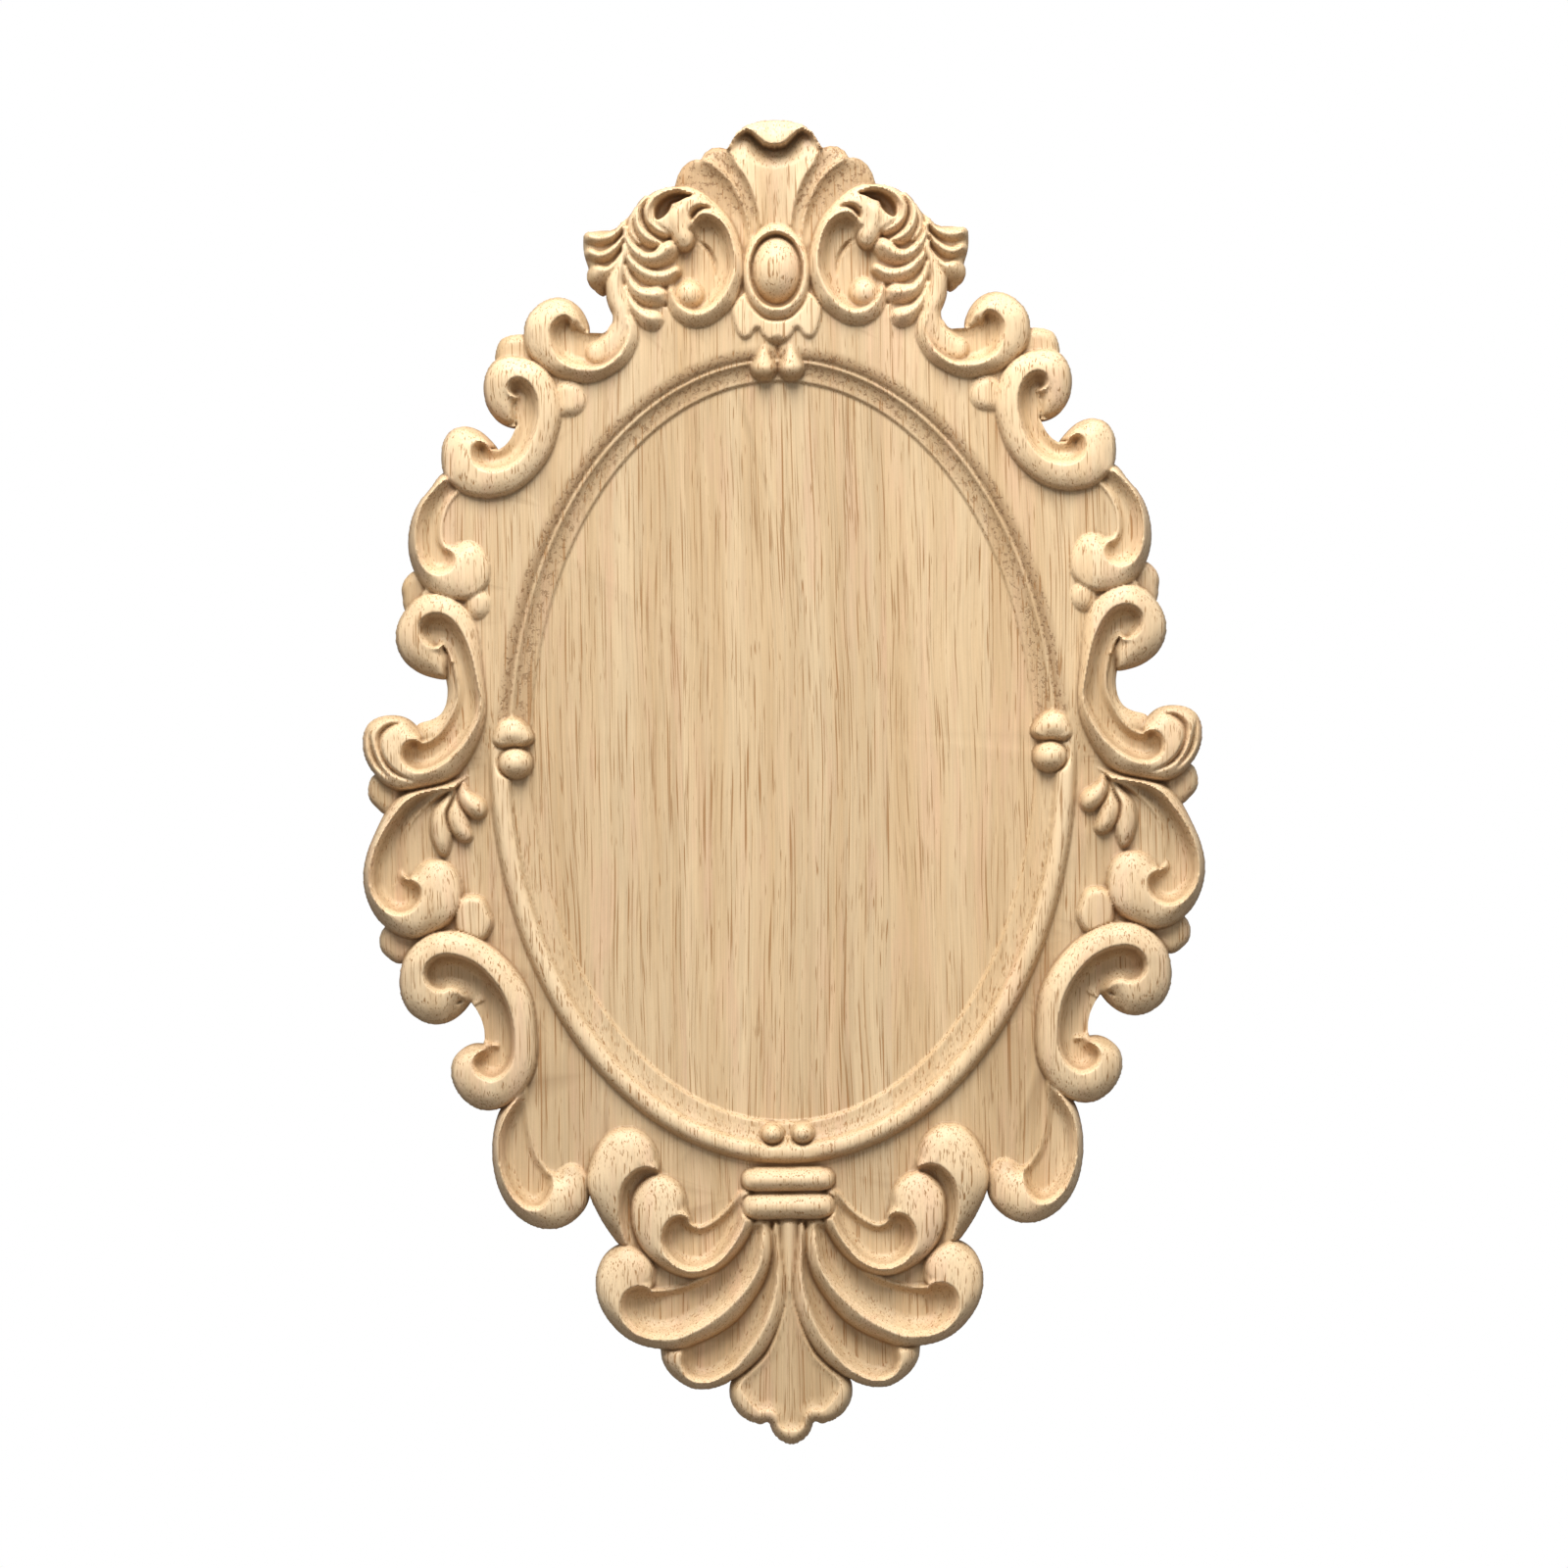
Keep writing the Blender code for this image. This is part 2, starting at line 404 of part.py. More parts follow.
def acanthus(R):
    """Strands that hook inwards from the spine, each with a bright upper side and a steep underside."""
    R.lobe([(-30, 216.3), (-38, 217), (-44.6, 214.8), (-48.6, 211.6), (-51.4, 208.4), (-54.0, 205.6),
            (-57, 203.5), (-58, 196), (-57, 184), (-54.5, 174),
            (-51.5, 166.5), (-47.5, 163.8), (-43, 164.6), (-40.6, 169), (-39.6, 177), (-37.5, 182),
            (-35.4, 188), (-36, 195), (-39, 200), (-36, 206), (-33, 211)],
           12.6, 3.0, foot=6.5, how="max")
    for line in (
            [(-33, 215.2, 1.0, 1.4, 18), (-38.5, 215.0, 1.4, 1.9, 18), (-43.6, 212.6, 2.2, 2.2, 18),
             (-46.6, 208.4, 3.0, 1.6, 18), (-46.2, 204.4, 3.2, 1.6, 17.5),
             (-43.4, 201.8, 1.8, 3.0, 17), (-39.4, 199.6, 1.2, 2.0, 16)],
            [(-46.6, 212.9, 1.6, 1.0, 17), (-49.4, 209.6, 2.2, 1.2, 17), (-50.5, 205.8, 2.6, 1.4, 17.5),
             (-49.7, 202.2, 2.6, 2.2, 17.5), (-47.4, 198.9, 2.4, 3.2, 17.5),
             (-44.4, 197.0, 2.0, 3.2, 17), (-42.2, 196.4, 1.0, 2.0, 16)],
            [(-50.6, 208.6, 1.0, 0.8, 16), (-52.4, 204.6, 1.4, 1.0, 16.5), (-52.4, 200.6, 1.6, 1.6, 16.5),
             (-50.6, 197.4, 1.4, 2.0, 15.5), (-49.4, 196.4, 0.8, 1.2, 14.5)],
            [(-54.6, 202.0, 1.0, 1.0, 16.5), (-53.8, 197.6, 1.8, 2.0, 17), (-51.4, 193.8, 2.4, 3.2, 17),
             (-47.4, 191.2, 2.4, 4.2, 17), (-43.4, 191.2, 2.8, 4.6, 17.5),
             (-40.2, 193.2, 3.6, 5.2, 18), (-38.8, 194.4, 3.2, 4.4, 18)],
            [(-54.8, 195.4, 1.0, 1.0, 16.5), (-53.2, 190.6, 1.8, 2.4, 16.5),
             (-49.6, 186.8, 2.2, 3.6, 16.5), (-44.8, 184.5, 2.4, 4.4, 16.5), (-40.2, 184.4, 2.6, 4.0, 16.5),
             (-36.4, 186.2, 2.2, 2.4, 16)],
            [(-54.8, 188, 1.0, 1.2, 16), (-53.4, 183.0, 2.0, 2.6, 16), (-50, 178.8, 2.6, 4.0, 16.5),
             (-45.6, 177.4, 3.6, 5.2, 17.5), (-43.4, 177.4, 3.8, 5.2, 17.5)],
            [(-54.8, 180.6, 0.8, 1.2, 15.5), (-53.2, 175.6, 1.8, 2.4, 16), (-50.2, 171.6, 2.6, 3.6, 16.5),
             (-46.4, 169.2, 4.0, 5.2, 17.5), (-44.9, 168.8, 4.0, 5.2, 17.5)]):
        R.strand(line, foot=11.0, p=1.6, q=1.35)
    R.dish([(-43.9, 206), (-43.6, 209.4), (-41.2, 212.4), (-38, 214.2), (-35, 214.7), (-32, 214.0),
            (-29.8, 213.3), (-32.6, 212.4), (-35.6, 210.9), (-37.2, 210.6), (-38.0, 208.6),
            (-39.4, 206.6), (-41.2, 205.2), (-43, 204.6)], 14.6, 5.5, 1.7)


def wing(R):
    """Short fronds to the left of the spine."""
    R.lobe([(-53, 206), (-56.2, 203.6), (-60, 201.9), (-65, 201.6), (-69.3, 200.6), (-70, 196.5),
            (-69.4, 192), (-68.2, 188), (-67.6, 183.6), (-65.8, 180.2),
            (-63, 178.6), (-61.6, 180.6), (-57, 186), (-52, 190)], 11.5, 3.0, foot=6.5, how="max")
    for line in (
            [(-55.0, 203.2, 1.0, 0.9, 16), (-57.4, 200.4, 1.4, 1.8, 15.5), (-60.6, 198.7, 2.4, 2.8, 15),
             (-64.4, 198.2, 2.8, 3.4, 14.5), (-67.0, 198.8, 2.6, 3.0, 14.5)],
            [(-55.2, 198.4, 1.0, 1.0, 16.5), (-57.6, 195.4, 1.6, 2.2, 16), (-61, 192.9, 2.0, 3.2, 15.5),
             (-64.2, 192.2, 2.0, 3.4, 15), (-67.0, 193.4, 2.0, 2.8, 14.5)],
            [(-55.4, 192.8, 1.0, 1.2, 16.5), (-58, 189.0, 1.6, 2.6, 16), (-61.0, 186.9, 1.8, 5.0, 15.5),
             (-63.0, 186.7, 2.2, 6.6, 15.5), (-63.6, 186.8, 2.2, 6.6, 15.5)]):
        R.strand([(x, z, right, left, top) for x, z, left, right, top in line], foot=9.5, p=1.35, q=1.6)


def shoulder_scroll(R):
    outer = [(-73.7, 166.5), (-72.2, 166.1), (-70.6, 165.2), (-68.6, 164.6), (-68.3, 167.3), (-69.6, 171),
             (-72, 174.3), (-75.6, 176.8), (-79.6, 177.6), (-84, 176.5), (-88, 173.6), (-90.8, 169.8),
             (-91.9, 165), (-91.4, 159.5), (-89.5, 155.5), (-86, 152.3), (-82, 149.2), (-76, 147),
             (-69.6, 145.8), (-64.8, 146.6), (-59.8, 148.9), (-54.6, 152.6),
             (-51.4, 157.5), (-49.8, 162.5), (-50.6, 166.5), (-52.4, 170.5)]
    rim = [(-58.2, 171.5), (-59.4, 168.6), (-60.2, 165.8), (-63.0, 164.2), (-66.4, 163.6), (-68.8, 164.0),
           (-70.8, 164.9), (-72.4, 165.7), (-73.7, 166.5)]
    ridge = [(-73.7, 166.5, 15.2), (-74.1, 167.6, 16.2), (-74.7, 169.2, 17), (-76.2, 170.3, 17.4),
             (-78.0, 170.1, 17.5), (-79.8, 169.0, 17.5), (-81.6, 166.8, 18), (-82.2, 163.4, 18),
             (-81.4, 159.4, 18), (-79.2, 155, 18),
             (-75.2, 152.2, TOP), (-70.4, 151.0, TOP), (-65.6, 150.9, TOP), (-61.8, 152.2, TOP),
             (-58.0, 155.0, TOP), (-55.2, 159.0, 18), (-53.8, 164.0, 17.5), (-54.6, 169.5, 17)]
    R.lobe([(-76, 168), (-72, 168), (-69, 166.6), (-68.6, 163.5), (-71, 162), (-75, 164)],
           13.6, 1.5, foot=8, how="max")
    R.scroll(outer, rim, ridge, -2.0, -1.2)
    R.strand([(-55.0, 196, 0.6, 0.6, 16), (-55.4, 191.5, 1.0, 1.0, 16.5), (-56.8, 187, 2.0, 1.9, 16.8),
              (-58.2, 182, 3.2, 3.6, 17), (-57.6, 176.5, 3.8, 4.0, 17), (-55.9, 171, 3.6, 3.6, 17),
              (-55.6, 166, 4.2, 4.8, 16.4), (-58.2, 161.0, 4.8, 5.2, 15.6), (-61.8, 157.8, 5.2, 5.6, 15.0),
              (-64.6, 156.6, 4.8, 5.2, 14.6)], foot=9.5, p=2.4)


def upper_side_scroll(R):
    outer = [(-94.3, 141.1), (-94.7, 139.2), (-95.4, 136.6), (-95.1, 133.6), (-95.3, 131.0),
             (-98.6, 131.4), (-102.8, 134), (-105.7, 138.6), (-106.7, 144.4), (-105.9, 150),
             (-102.4, 154.9), (-97.5, 156.5), (-91.4, 155.6), (-85.2, 151.8),
             (-81.2, 147.2), (-78.8, 140), (-78.6, 134), (-80, 127.8), (-82, 121.8), (-85.4, 116),
             (-90, 111), (-96, 106.9), (-102, 105.1), (-108, 105), (-114, 106.6),
             (-119, 110.6), (-121.8, 115), (-122.5, 120), (-121.5, 126), (-118.2, 130), (-113.5, 131.2),
             (-109.1, 130), (-105.3, 127.1), (-102.3, 123.2), (-104.2, 123.0)]
    rim = [(-104.6, 122.7), (-102.4, 122.6), (-99.8, 123.4), (-97.3, 126), (-95.9, 128.6), (-95.0, 130.9),
           (-94.8, 133.6), (-95.1, 136.6), (-94.4, 139.2), (-94.3, 141.1)]
    ridge = [(-94.4, 141.1, 15), (-95.4, 141.4, 16.5), (-96.8, 142.2, 17), (-97.7, 144.2, 17.5),
             (-96.8, 147.0, 18), (-94.2, 148.1, 18), (-91.4, 147.3, TOP), (-88.8, 144.8, TOP),
             (-87.0, 140.5, TOP),
             (-86.6, 135.5, TOP), (-87.5, 130, TOP), (-88.9, 125.6, TOP), (-91.2, 121.2, TOP),
             (-94, 117.9, TOP), (-97.5, 115.5, TOP), (-101.6, 114.4, TOP), (-105.6, 114.5, TOP),
             (-108.7, 115.9, 18), (-110.7, 118.4, 18), (-111.1, 121.4, 17.5), (-110.2, 124.1, 17),
             (-108.2, 125.3, 16.5), (-106.2, 124.5, 16), (-104.6, 122.9, 15)]
    R.lobe([(-97, 133.5), (-95, 132.2), (-93, 133.5), (-92.5, 139), (-93.5, 142), (-96.5, 141.5),
            (-98.5, 137)], 13.4, 1.5, foot=8, how="max")
    R.lobe([(-107, 125), (-104, 124.3), (-102.0, 122.8), (-102.5, 120.5), (-106, 120.5), (-107.5, 122.5)],
           10.5, 1.5, foot=8, how="max")
    R.scroll(outer, rim, ridge, -2.0, (-0.5, -1.6))
    R.lobe([(-79.5, 133.8), (-75.6, 133.2), (-71.8, 134.1), (-69.2, 136.8), (-68.3, 140), (-69, 143.2),
            (-71, 146.2), (-76, 148), (-80.5, 146), (-81, 139)], 15.2, 3.6, foot=9, how="max")
    R.lobe([(-92, 164.3), (-96.8, 164.2), (-100.2, 162.7), (-102.1, 159), (-102.4, 155), (-98, 150),
            (-90, 150), (-86, 154), (-86, 160)], 11.5, 3.0, foot=6, how="max")


def upper_leaf(R):
    outer = [(-117, 112.5), (-121.9, 114.3), (-126.7, 108.6), (-130.6, 104), (-133.2, 98.8),
             (-134.7, 92.5), (-134.9, 87), (-133.6, 80.8), (-131.0, 75.4), (-127.7, 71.8),
             (-123.0, 69.3), (-117.7, 68), (-113.1, 68.5), (-108.7, 70.7), (-105.7, 74.3), (-105, 78.9),
             (-106.2, 83.9), (-108.8, 87.7), (-112.4, 89.5), (-116, 89.4), (-118.4, 87.8)]
    rim = [(-120.2, 87.4), (-121.7, 89.6), (-121.9, 94.5), (-120.8, 99.6), (-118.3, 104.2), (-115.2, 107.6)]
    ridge = [(-118.5, 113.0, 16.5), (-121.6, 110.8, 17), (-126.2, 106.2, 17.5), (-129.5, 100.7, 18),
             (-131.1, 94.3, 18), (-131.1, 87.4, 18), (-129.5, 81.5, 18), (-126.5, 78.3, 18),
             (-123, 77.3, 18), (-119.9, 78.2, 18), (-117.8, 80.4, 17.5), (-117.3, 83.2, 17),
             (-118.4, 85.6, 15.5), (-119.4, 86.8, 14.5)]
    R.lobe([(-136.2, 64.5), (-137.4, 69.5), (-137.5, 73.6), (-135.9, 76.7), (-133, 79), (-128, 78),
            (-126, 70), (-130, 64)], 10.5, 3.0, foot=6)
    R.lobe([(-111.6, 60.6), (-108.6, 60.2), (-105.6, 62.6), (-104.4, 66.3), (-104.9, 69.6), (-108, 73),
            (-113, 72), (-115, 66)], 15.5, 3.8, foot=9, how="max")
    R.scroll(outer, rim, ridge, -1.2, 1.2)


def middle_scroll(R):
    outer = [(-122.6, 51.6), (-121.7, 49.6), (-121.1, 47.4), (-121.2, 45.2), (-121.6, 42.6),
             (-121.9, 39.9), (-127.4, 40.4), (-132.3, 42.5), (-136.6, 46.2), (-139.2, 51.0), (-139.8, 56),
             (-138.7, 60.6), (-135.8, 65.5), (-132.2, 69.0), (-127.7, 70.6),
             (-122.9, 70.0), (-118.5, 68.5), (-114.8, 65.8), (-112.0, 62), (-109.9, 57.5), (-108.6, 49),
             (-107.9, 41.3), (-107.2, 34), (-107.1, 27.6), (-108.1, 21.4),
             (-110.5, 15.4), (-113.6, 9.9), (-117.7, 5.2), (-122.4, 2.3), (-129.2, 0.5), (-134, -0.3),
             (-138.9, -0.6), (-143.4, 1.2), (-147.6, 4.8), (-150.7, 9.5),
             (-152.2, 14.6), (-152.1, 19.4), (-150.4, 23.4), (-147, 25.9), (-142.8, 26.8), (-138.9, 26.6),
             (-136.0, 25.4), (-134, 23.8), (-132.7, 22.4), (-131.6, 20.6), (-130.7, 18.8), (-131.0, 17.3)]
    rim = [(-130.7, 17.0), (-129.6, 17.2), (-127.4, 18.0), (-124.4, 20.4), (-121.8, 24.2), (-119.6, 28.4),
           (-118.3, 32), (-117.8, 36), (-118.2, 40), (-118.8, 43), (-119.6, 45.6), (-120.6, 48),
           (-121.5, 50.1), (-122.6, 51.6)]
    ridge = [(-122.7, 51.6, 15.5), (-123.9, 50.9, 16.5), (-125.8, 50.7, 17.5), (-128.7, 52.5, 18),
             (-130.6, 55.6, 18), (-130.6, 59.4, 18), (-128.2, 62.4, TOP), (-124.4, 63.3, TOP),
             (-120.2, 62.0, TOP), (-116.8, 58.6, TOP), (-113.9, 53.3, TOP), (-112, 47.9, TOP),
             (-110.8, 42.5, TOP), (-109.7, 36.8, TOP), (-108.9, 31.6, TOP), (-109.6, 26.4, TOP),
             (-111.8, 21.6, TOP), (-114.8, 16.8, TOP), (-119.0, 12.1, TOP), (-123.5, 8.8, TOP),
             (-128.3, 6.6, TOP), (-133.3, 6.4, 18), (-137, 9, 17.5), (-138.1, 12.4, 17.5),
             (-137.4, 15.3, 17), (-135.4, 17.4, 17), (-133, 17.8, 16.5), (-131, 17.2, 15.5)]
    R.lobe([(-144.4, -9.2), (-147.8, -6.6), (-150.2, -3.7), (-150.8, -0.4), (-149.2, 4.6), (-145, 6),
            (-138, 0), (-139, -7)], 10.5, 3.0, foot=6, how="max")
    # flank of the inner rim
    R.lobe([(-132.8, 22.8), (-130.5, 24.2), (-127.9, 24.8), (-124.2, 26.8), (-122.1, 30.4), (-121.4, 35.4),
            (-121.9, 39.9), (-122.8, 45.2), (-123.4, 50), (-121, 52.5), (-116, 50), (-114, 36), (-116, 26),
            (-121, 18), (-127, 13), (-132, 16)], 13.0, 5.5, foot=7, how="max", p=1.35)
    R.scroll(outer, rim, ridge, -2.0, (1.0, -0.4))
    R.groove([(-149.9, 21.0, 0.3, 0.5), (-149.2, 16.8, 1.0, 2.4), (-148.4, 13.0, 1.3, 3.2),
              (-146.9, 9.6, 1.3, 3.2), (-145.0, 6.8, 1.0, 2.2), (-143.0, 4.4, 0.4, 0.8)])
    R.groove([(-137.8, 23.8, 0.4, 1.0), (-142.2, 22.7, 1.4, 3.0), (-145.6, 19.4, 1.7, 3.6),
              (-146.0, 15.4, 1.4, 3.2), (-144.2, 10.2, 1.3, 3.2), (-141.4, 6.8, 1.2, 3.0),
              (-138, 4.6, 0.9, 2.0), (-134.0, 3.0, 0.4, 0.8)])


def petals(R):
    for edge in ([(-119, 1), (-123.5, -3.5), (-127.2, -8), (-128.4, -14), (-127.5, -19.5), (-124.6, -24.4),
                  (-122.2, -24.9), (-120.2, -20.5), (-119.6, -14), (-118, -6)],
                 [(-116.5, 2), (-120, -4), (-122.4, -9.5), (-120.9, -15.7), (-117.9, -19.2),
                  (-114.3, -20.1), (-112.3, -17.6), (-113.5, -12.7), (-115.5, -6), (-114.5, 0)],
                 [(-115.6, 2.6), (-117.8, -0.2), (-118.2, -3.6), (-116.8, -7.4), (-114.4, -10.2),
                  (-111.4, -11.7), (-108.6, -11.1), (-107.2, -8.6), (-107.6, -5.4), (-109.6, -3),
                  (-112.2, -1.4), (-114.2, 0.6)]):
        R.lobe(edge, 15.8, 4.0, foot=9, p=1.8)


def lower_leaf(R):
    R.lobe([(-118.5, -40.9), (-116, -38.9), (-112.7, -38.4), (-109.1, -39.6), (-106.8, -44),
            (-105.5, -48.6), (-106.4, -52), (-108.4, -55), (-113, -57), (-119, -52)],
            14.6, 2.4, foot=9, how="max")
    R.lobe([(-145, -49.8), (-147.3, -54), (-146.8, -58.3), (-144, -61.5), (-140.4, -63.5), (-136, -62),
            (-128, -57), (-128, -51), (-138, -48)], 10.5, 3.0, foot=6, how="max")
    outer = [(-112.5, 5.5), (-119, 3.5), (-128.1, 1.0), (-137.5, -1.2), (-142, -4.5), (-144.6, -8.5),
             (-148.6, -16.5), (-151.5, -23.8), (-152.8, -31.2), (-152.0, -38.2),
             (-149.2, -45), (-145.0, -50), (-139.5, -53.2), (-133.5, -54.3), (-128.1, -53),
             (-123.6, -50.4), (-120.1, -47.2), (-117.8, -42.5), (-116.8, -37.2), (-117.6, -31.9),
             (-120.3, -27.6), (-124.5, -25.7), (-128.9, -25.8), (-132.3, -27.3), (-134.8, -30.2),
             (-136.0, -32.6)]
    rim = [(-138.0, -31.0), (-138.2, -26.5), (-137.6, -21.1), (-136.2, -16), (-133.8, -11.6),
           (-130.5, -7.9), (-126.6, -4.5), (-119, 0)]
    ridge = [(-118, 1.0, 15), (-126, -0.6, 16.5), (-131.6, -2.0, 17.5), (-136.2, -4.7, 18),
             (-141.0, -10.4, 18), (-145, -16.3, 18), (-147.9, -22.7, 18), (-149.5, -29.3, 18),
             (-149.3, -36, 18), (-147.2, -40.6, 18), (-143.7, -44.1, 18), (-139.4, -45.5, 18),
             (-135.2, -44.5, 18), (-132.2, -41.6, 18), (-131.1, -38, 17.5), (-131.8, -35.1, 17),
             (-134.2, -33.2, 15.5), (-136.6, -32.2, 14)]
    R.scroll(outer, rim, ridge, -1.2, (-0.6, 2.2))


def lower_scroll(R):
    outer = [(-114.3, -77.5), (-116.9, -80.9), (-120.3, -83.8), (-124.5, -85.4), (-129, -85.4),
             (-133.6, -83.4), (-137.4, -79.8), (-139.5, -75.2), (-140.1, -70), (-139.3, -64.2),
             (-137, -59.4), (-133.3, -55.4), (-128.4, -52.6), (-122.5, -51.4), (-116.7, -52.1),
             (-111.2, -54.2), (-106.2, -57.3), (-101.9, -61.1), (-98.2, -65.3), (-94.9, -70),
             (-92.2, -76), (-91, -82.4), (-90.5, -88), (-90.3, -94.2), (-91, -100.9), (-93.2, -106.6),
             (-96.8, -111.4), (-101.3, -114.9), (-106.4, -116.9), (-111.6, -116.6),
             (-116.7, -113.5), (-120.3, -108.8), (-121.8, -103.5), (-120.9, -98.2), (-117.6, -94.6),
             (-113.6, -93.0), (-110.2, -93.1)]
    rim = [(-109.4, -91.3), (-109.5, -88.0), (-110.4, -84.2), (-112.2, -80.4)]
    ridge = [(-116.6, -75.2, 14.5), (-118.6, -73.4, 16), (-121.2, -72.7, 17), (-124.2, -73.4, 17.5),
             (-127.1, -72.9, 18), (-129.4, -71, 18), (-130.6, -67.6, 18), (-129.8, -63.9, TOP),
             (-127.2, -61.1, TOP),
             (-123.3, -59.9, TOP), (-118.6, -60.4, TOP), (-113.7, -62.2, TOP), (-109.5, -65, TOP),
             (-105.8, -69, TOP), (-102.7, -73.4, TOP), (-100.3, -78.5, TOP), (-98.8, -84.4, TOP),
             (-98.2, -90.5, TOP), (-98.5, -96.4, TOP), (-100, -100.9, TOP), (-102.9, -104.3, TOP),
             (-106.5, -105.7, 18), (-110.1, -104.8, 18), (-112.8, -102.2, 17.5), (-113.6, -99.2, 17),
             (-112.3, -96.6, 16), (-109.8, -94.8, 14.5)]
    R.scroll(outer, rim, ridge, -1.6, -0.8)


def foot_leaf(R):
    outer = [(-96.5, -104), (-99, -110.5), (-104.3, -117), (-106.3, -123), (-107.3, -130.5),
             (-106.9, -138), (-105, -145.8), (-101.4, -152.4), (-96.3, -157.2), (-90.9, -159.8),
             (-85.6, -160.4),
             (-80.5, -159), (-76.3, -156), (-73.2, -152), (-72.2, -147), (-72.6, -141), (-75.8, -137.3),
             (-79, -136.4), (-82.2, -137.5), (-84.2, -139.4)]
    rim = [(-86.3, -139.4), (-88.4, -137.0), (-90.6, -133.6), (-92.2, -128.4), (-93.2, -122.4),
           (-93.8, -115), (-94.0, -107)]
    ridge = [(-95.6, -106.5, 16), (-97.6, -112.5, 16.5), (-100.6, -117.2, 17), (-103.3, -122.8, 17.5),
             (-104.4, -129.5, 18), (-104.0, -136.2, 18), (-102.2, -142.6, 18), (-99, -148.4, 18),
             (-94.9, -151.9, 18),
             (-90.4, -152.3, 18), (-87.2, -149.9, 17.5), (-85.6, -146.4, 16.5), (-85.2, -142.8, 15),
             (-85.4, -140.4, 13.5)]
    R.scroll(outer, rim, ridge, -1.0, 0.8)


def comma(R):
    """Large rounded lobe with a scooped right side."""
    outer = [(-46.8, -140.2), (-46.2, -136.4), (-47.6, -131.6), (-50.4, -127.2), (-54.6, -124.2),
             (-59.6, -123.6), (-64.6, -125.3), (-68.6, -129.8), (-71.4, -135.6), (-72.8, -141.5),
             (-72.2, -147.5), (-69.4, -154.6), (-65.6, -161.2), (-61.4, -166.6), (-57.5, -169)]
    rim = [(-52, -166), (-48, -158), (-45, -148)]
    ridge = [(-46.6, -139.2, 14), (-48.6, -138.2, 16), (-51.6, -137.8, 17), (-54.8, -138.6, 17.5),
             (-57.6, -140.8, 18), (-60.0, -144.2, 18), (-61.2, -148.6, 17.5), (-61.4, -154, 16.5),
             (-60.4, -160, 15), (-58.5, -167, 13.5)]
    R.scroll(outer, rim, ridge, -0.6, 0.5, wall=5.0)


def rib_petal(R):
    outer = [(-47.2, -203), (-46.6, -208.4), (-44.2, -212.9), (-40.3, -216.5), (-35.5, -219),
             (-30.3, -219.3), (-24.9, -217.9), (-18.6, -214.3), (-13.2, -209.9), (-8.7, -204.7),
             (-5.1, -198), (-2.8, -192), (-1.6, -187), (-1.2, -182), (-1.8, -176), (-2.6, -170),
             (-3.0, -160)]
    rim = [(-5, -158), (-8, -168), (-12, -178), (-18, -187), (-26, -195), (-36, -201), (-43, -202.6)]
    ridge = [(-41.5, -201.5, 15), (-39.6, -205.0, 16.5), (-39.6, -209.5, 17), (-38.0, -213.3, 17),
             (-34.4, -215.4, 17), (-29.5, -215.6, 17), (-24.8, -213.6, 17), (-20, -210.2, 17),
             (-15.4, -204.8, 17), (-11.4, -199, 17), (-8.3, -193, 17), (-6.2, -187, 16.5),
             (-4.9, -181, 16), (-4.4, -175, 15.5), (-4.6, -168, 15), (-4.8, -159, 14.6)]
    R.scroll(outer, rim, ridge, -1.5, 0.0)


def finial(R):
    """Slightly hollowed bottom leaf with three lobes, and its stem on the axis."""
    half = [(0, -156), (-3.6, -156.4), (-3.8, -168), (-3.4, -178), (-2.8, -188), (-4.4, -194),
            (-6.8, -200.4), (-9.8, -206.2), (-14.8, -211.2), (-20.6, -215.6), (-22.3, -219),
            (-21.9, -223.6), (-19.6, -227.7), (-15.8, -230.9), (-11.4, -232.3), (-8.2, -231.9),
            (-7.4, -234), (-5.6, -236.9), (-3, -238.9), (0, -239.8)]
    R.lobe(both(half), 14.6, 3.4, foot=5.5)
    R.dish(both([(0, -184), (-2.2, -190), (-5.4, -199), (-9.4, -207), (-16.2, -213.8), (-17.9, -217.6),
                 (-17.0, -220.8), (-14.7, -223.8), (-11.2, -226.8), (-7.6, -226.6), (-5.4, -228.4),
                 (-4.6, -231.8), (-2.6, -233.6), (0, -234.0)]), 14.4, 2.2, 5.0)


def large_scroll(R):
    outer = [(-50.4, -182.2), (-48.7, -180.4), (-48.0, -176.9), (-49.3, -172.8), (-52.3, -169.2),
             (-56.4, -167.0), (-60.5, -166.6), (-64.4, -168.2), (-67.6, -171.2), (-69.7, -175.4),
             (-70.4, -180.3),
             (-69.4, -186.8), (-66.2, -193.3), (-61, -199.1), (-54.7, -202.8), (-47.6, -204.4),
             (-40, -204.5), (-33.2, -202.4), (-26.3, -199.2), (-20, -195), (-15.5, -190.2), (-11.5, -184.6),
             (-8.6, -179), (-6.8, -173), (-6.0, -166), (-6.5, -158)]
    rim = [(-10, -157), (-17.9, -162), (-24.5, -170.5), (-31.5, -177.8), (-37, -180.4), (-42, -181.8),
           (-46.2, -182.5), (-49.2, -182.2)]
    ridge = [(-50.6, -181.4, 15.5), (-52, -181.0, 16.5), (-54.6, -180.8, 17), (-57.6, -181.5, 17.5),
             (-60.1, -183.6, 18), (-61.3, -187.2, TOP), (-60.7, -191.6, TOP), (-57.8, -195.9, TOP),
             (-53, -198.8, TOP),
             (-47, -199.9, TOP), (-40.8, -199.2, TOP), (-34.4, -196.7, TOP), (-28, -193.0, TOP),
             (-22.2, -188.4, TOP), (-17.4, -183.6, TOP), (-13.6, -178.6, 18), (-11.2, -173.6, 17.5),
             (-10.0, -167.5, 16.5), (-9.2, -160, 14.5)]
    R.scroll(outer, rim, ridge, -1.0, 1.6, wall=7.0)


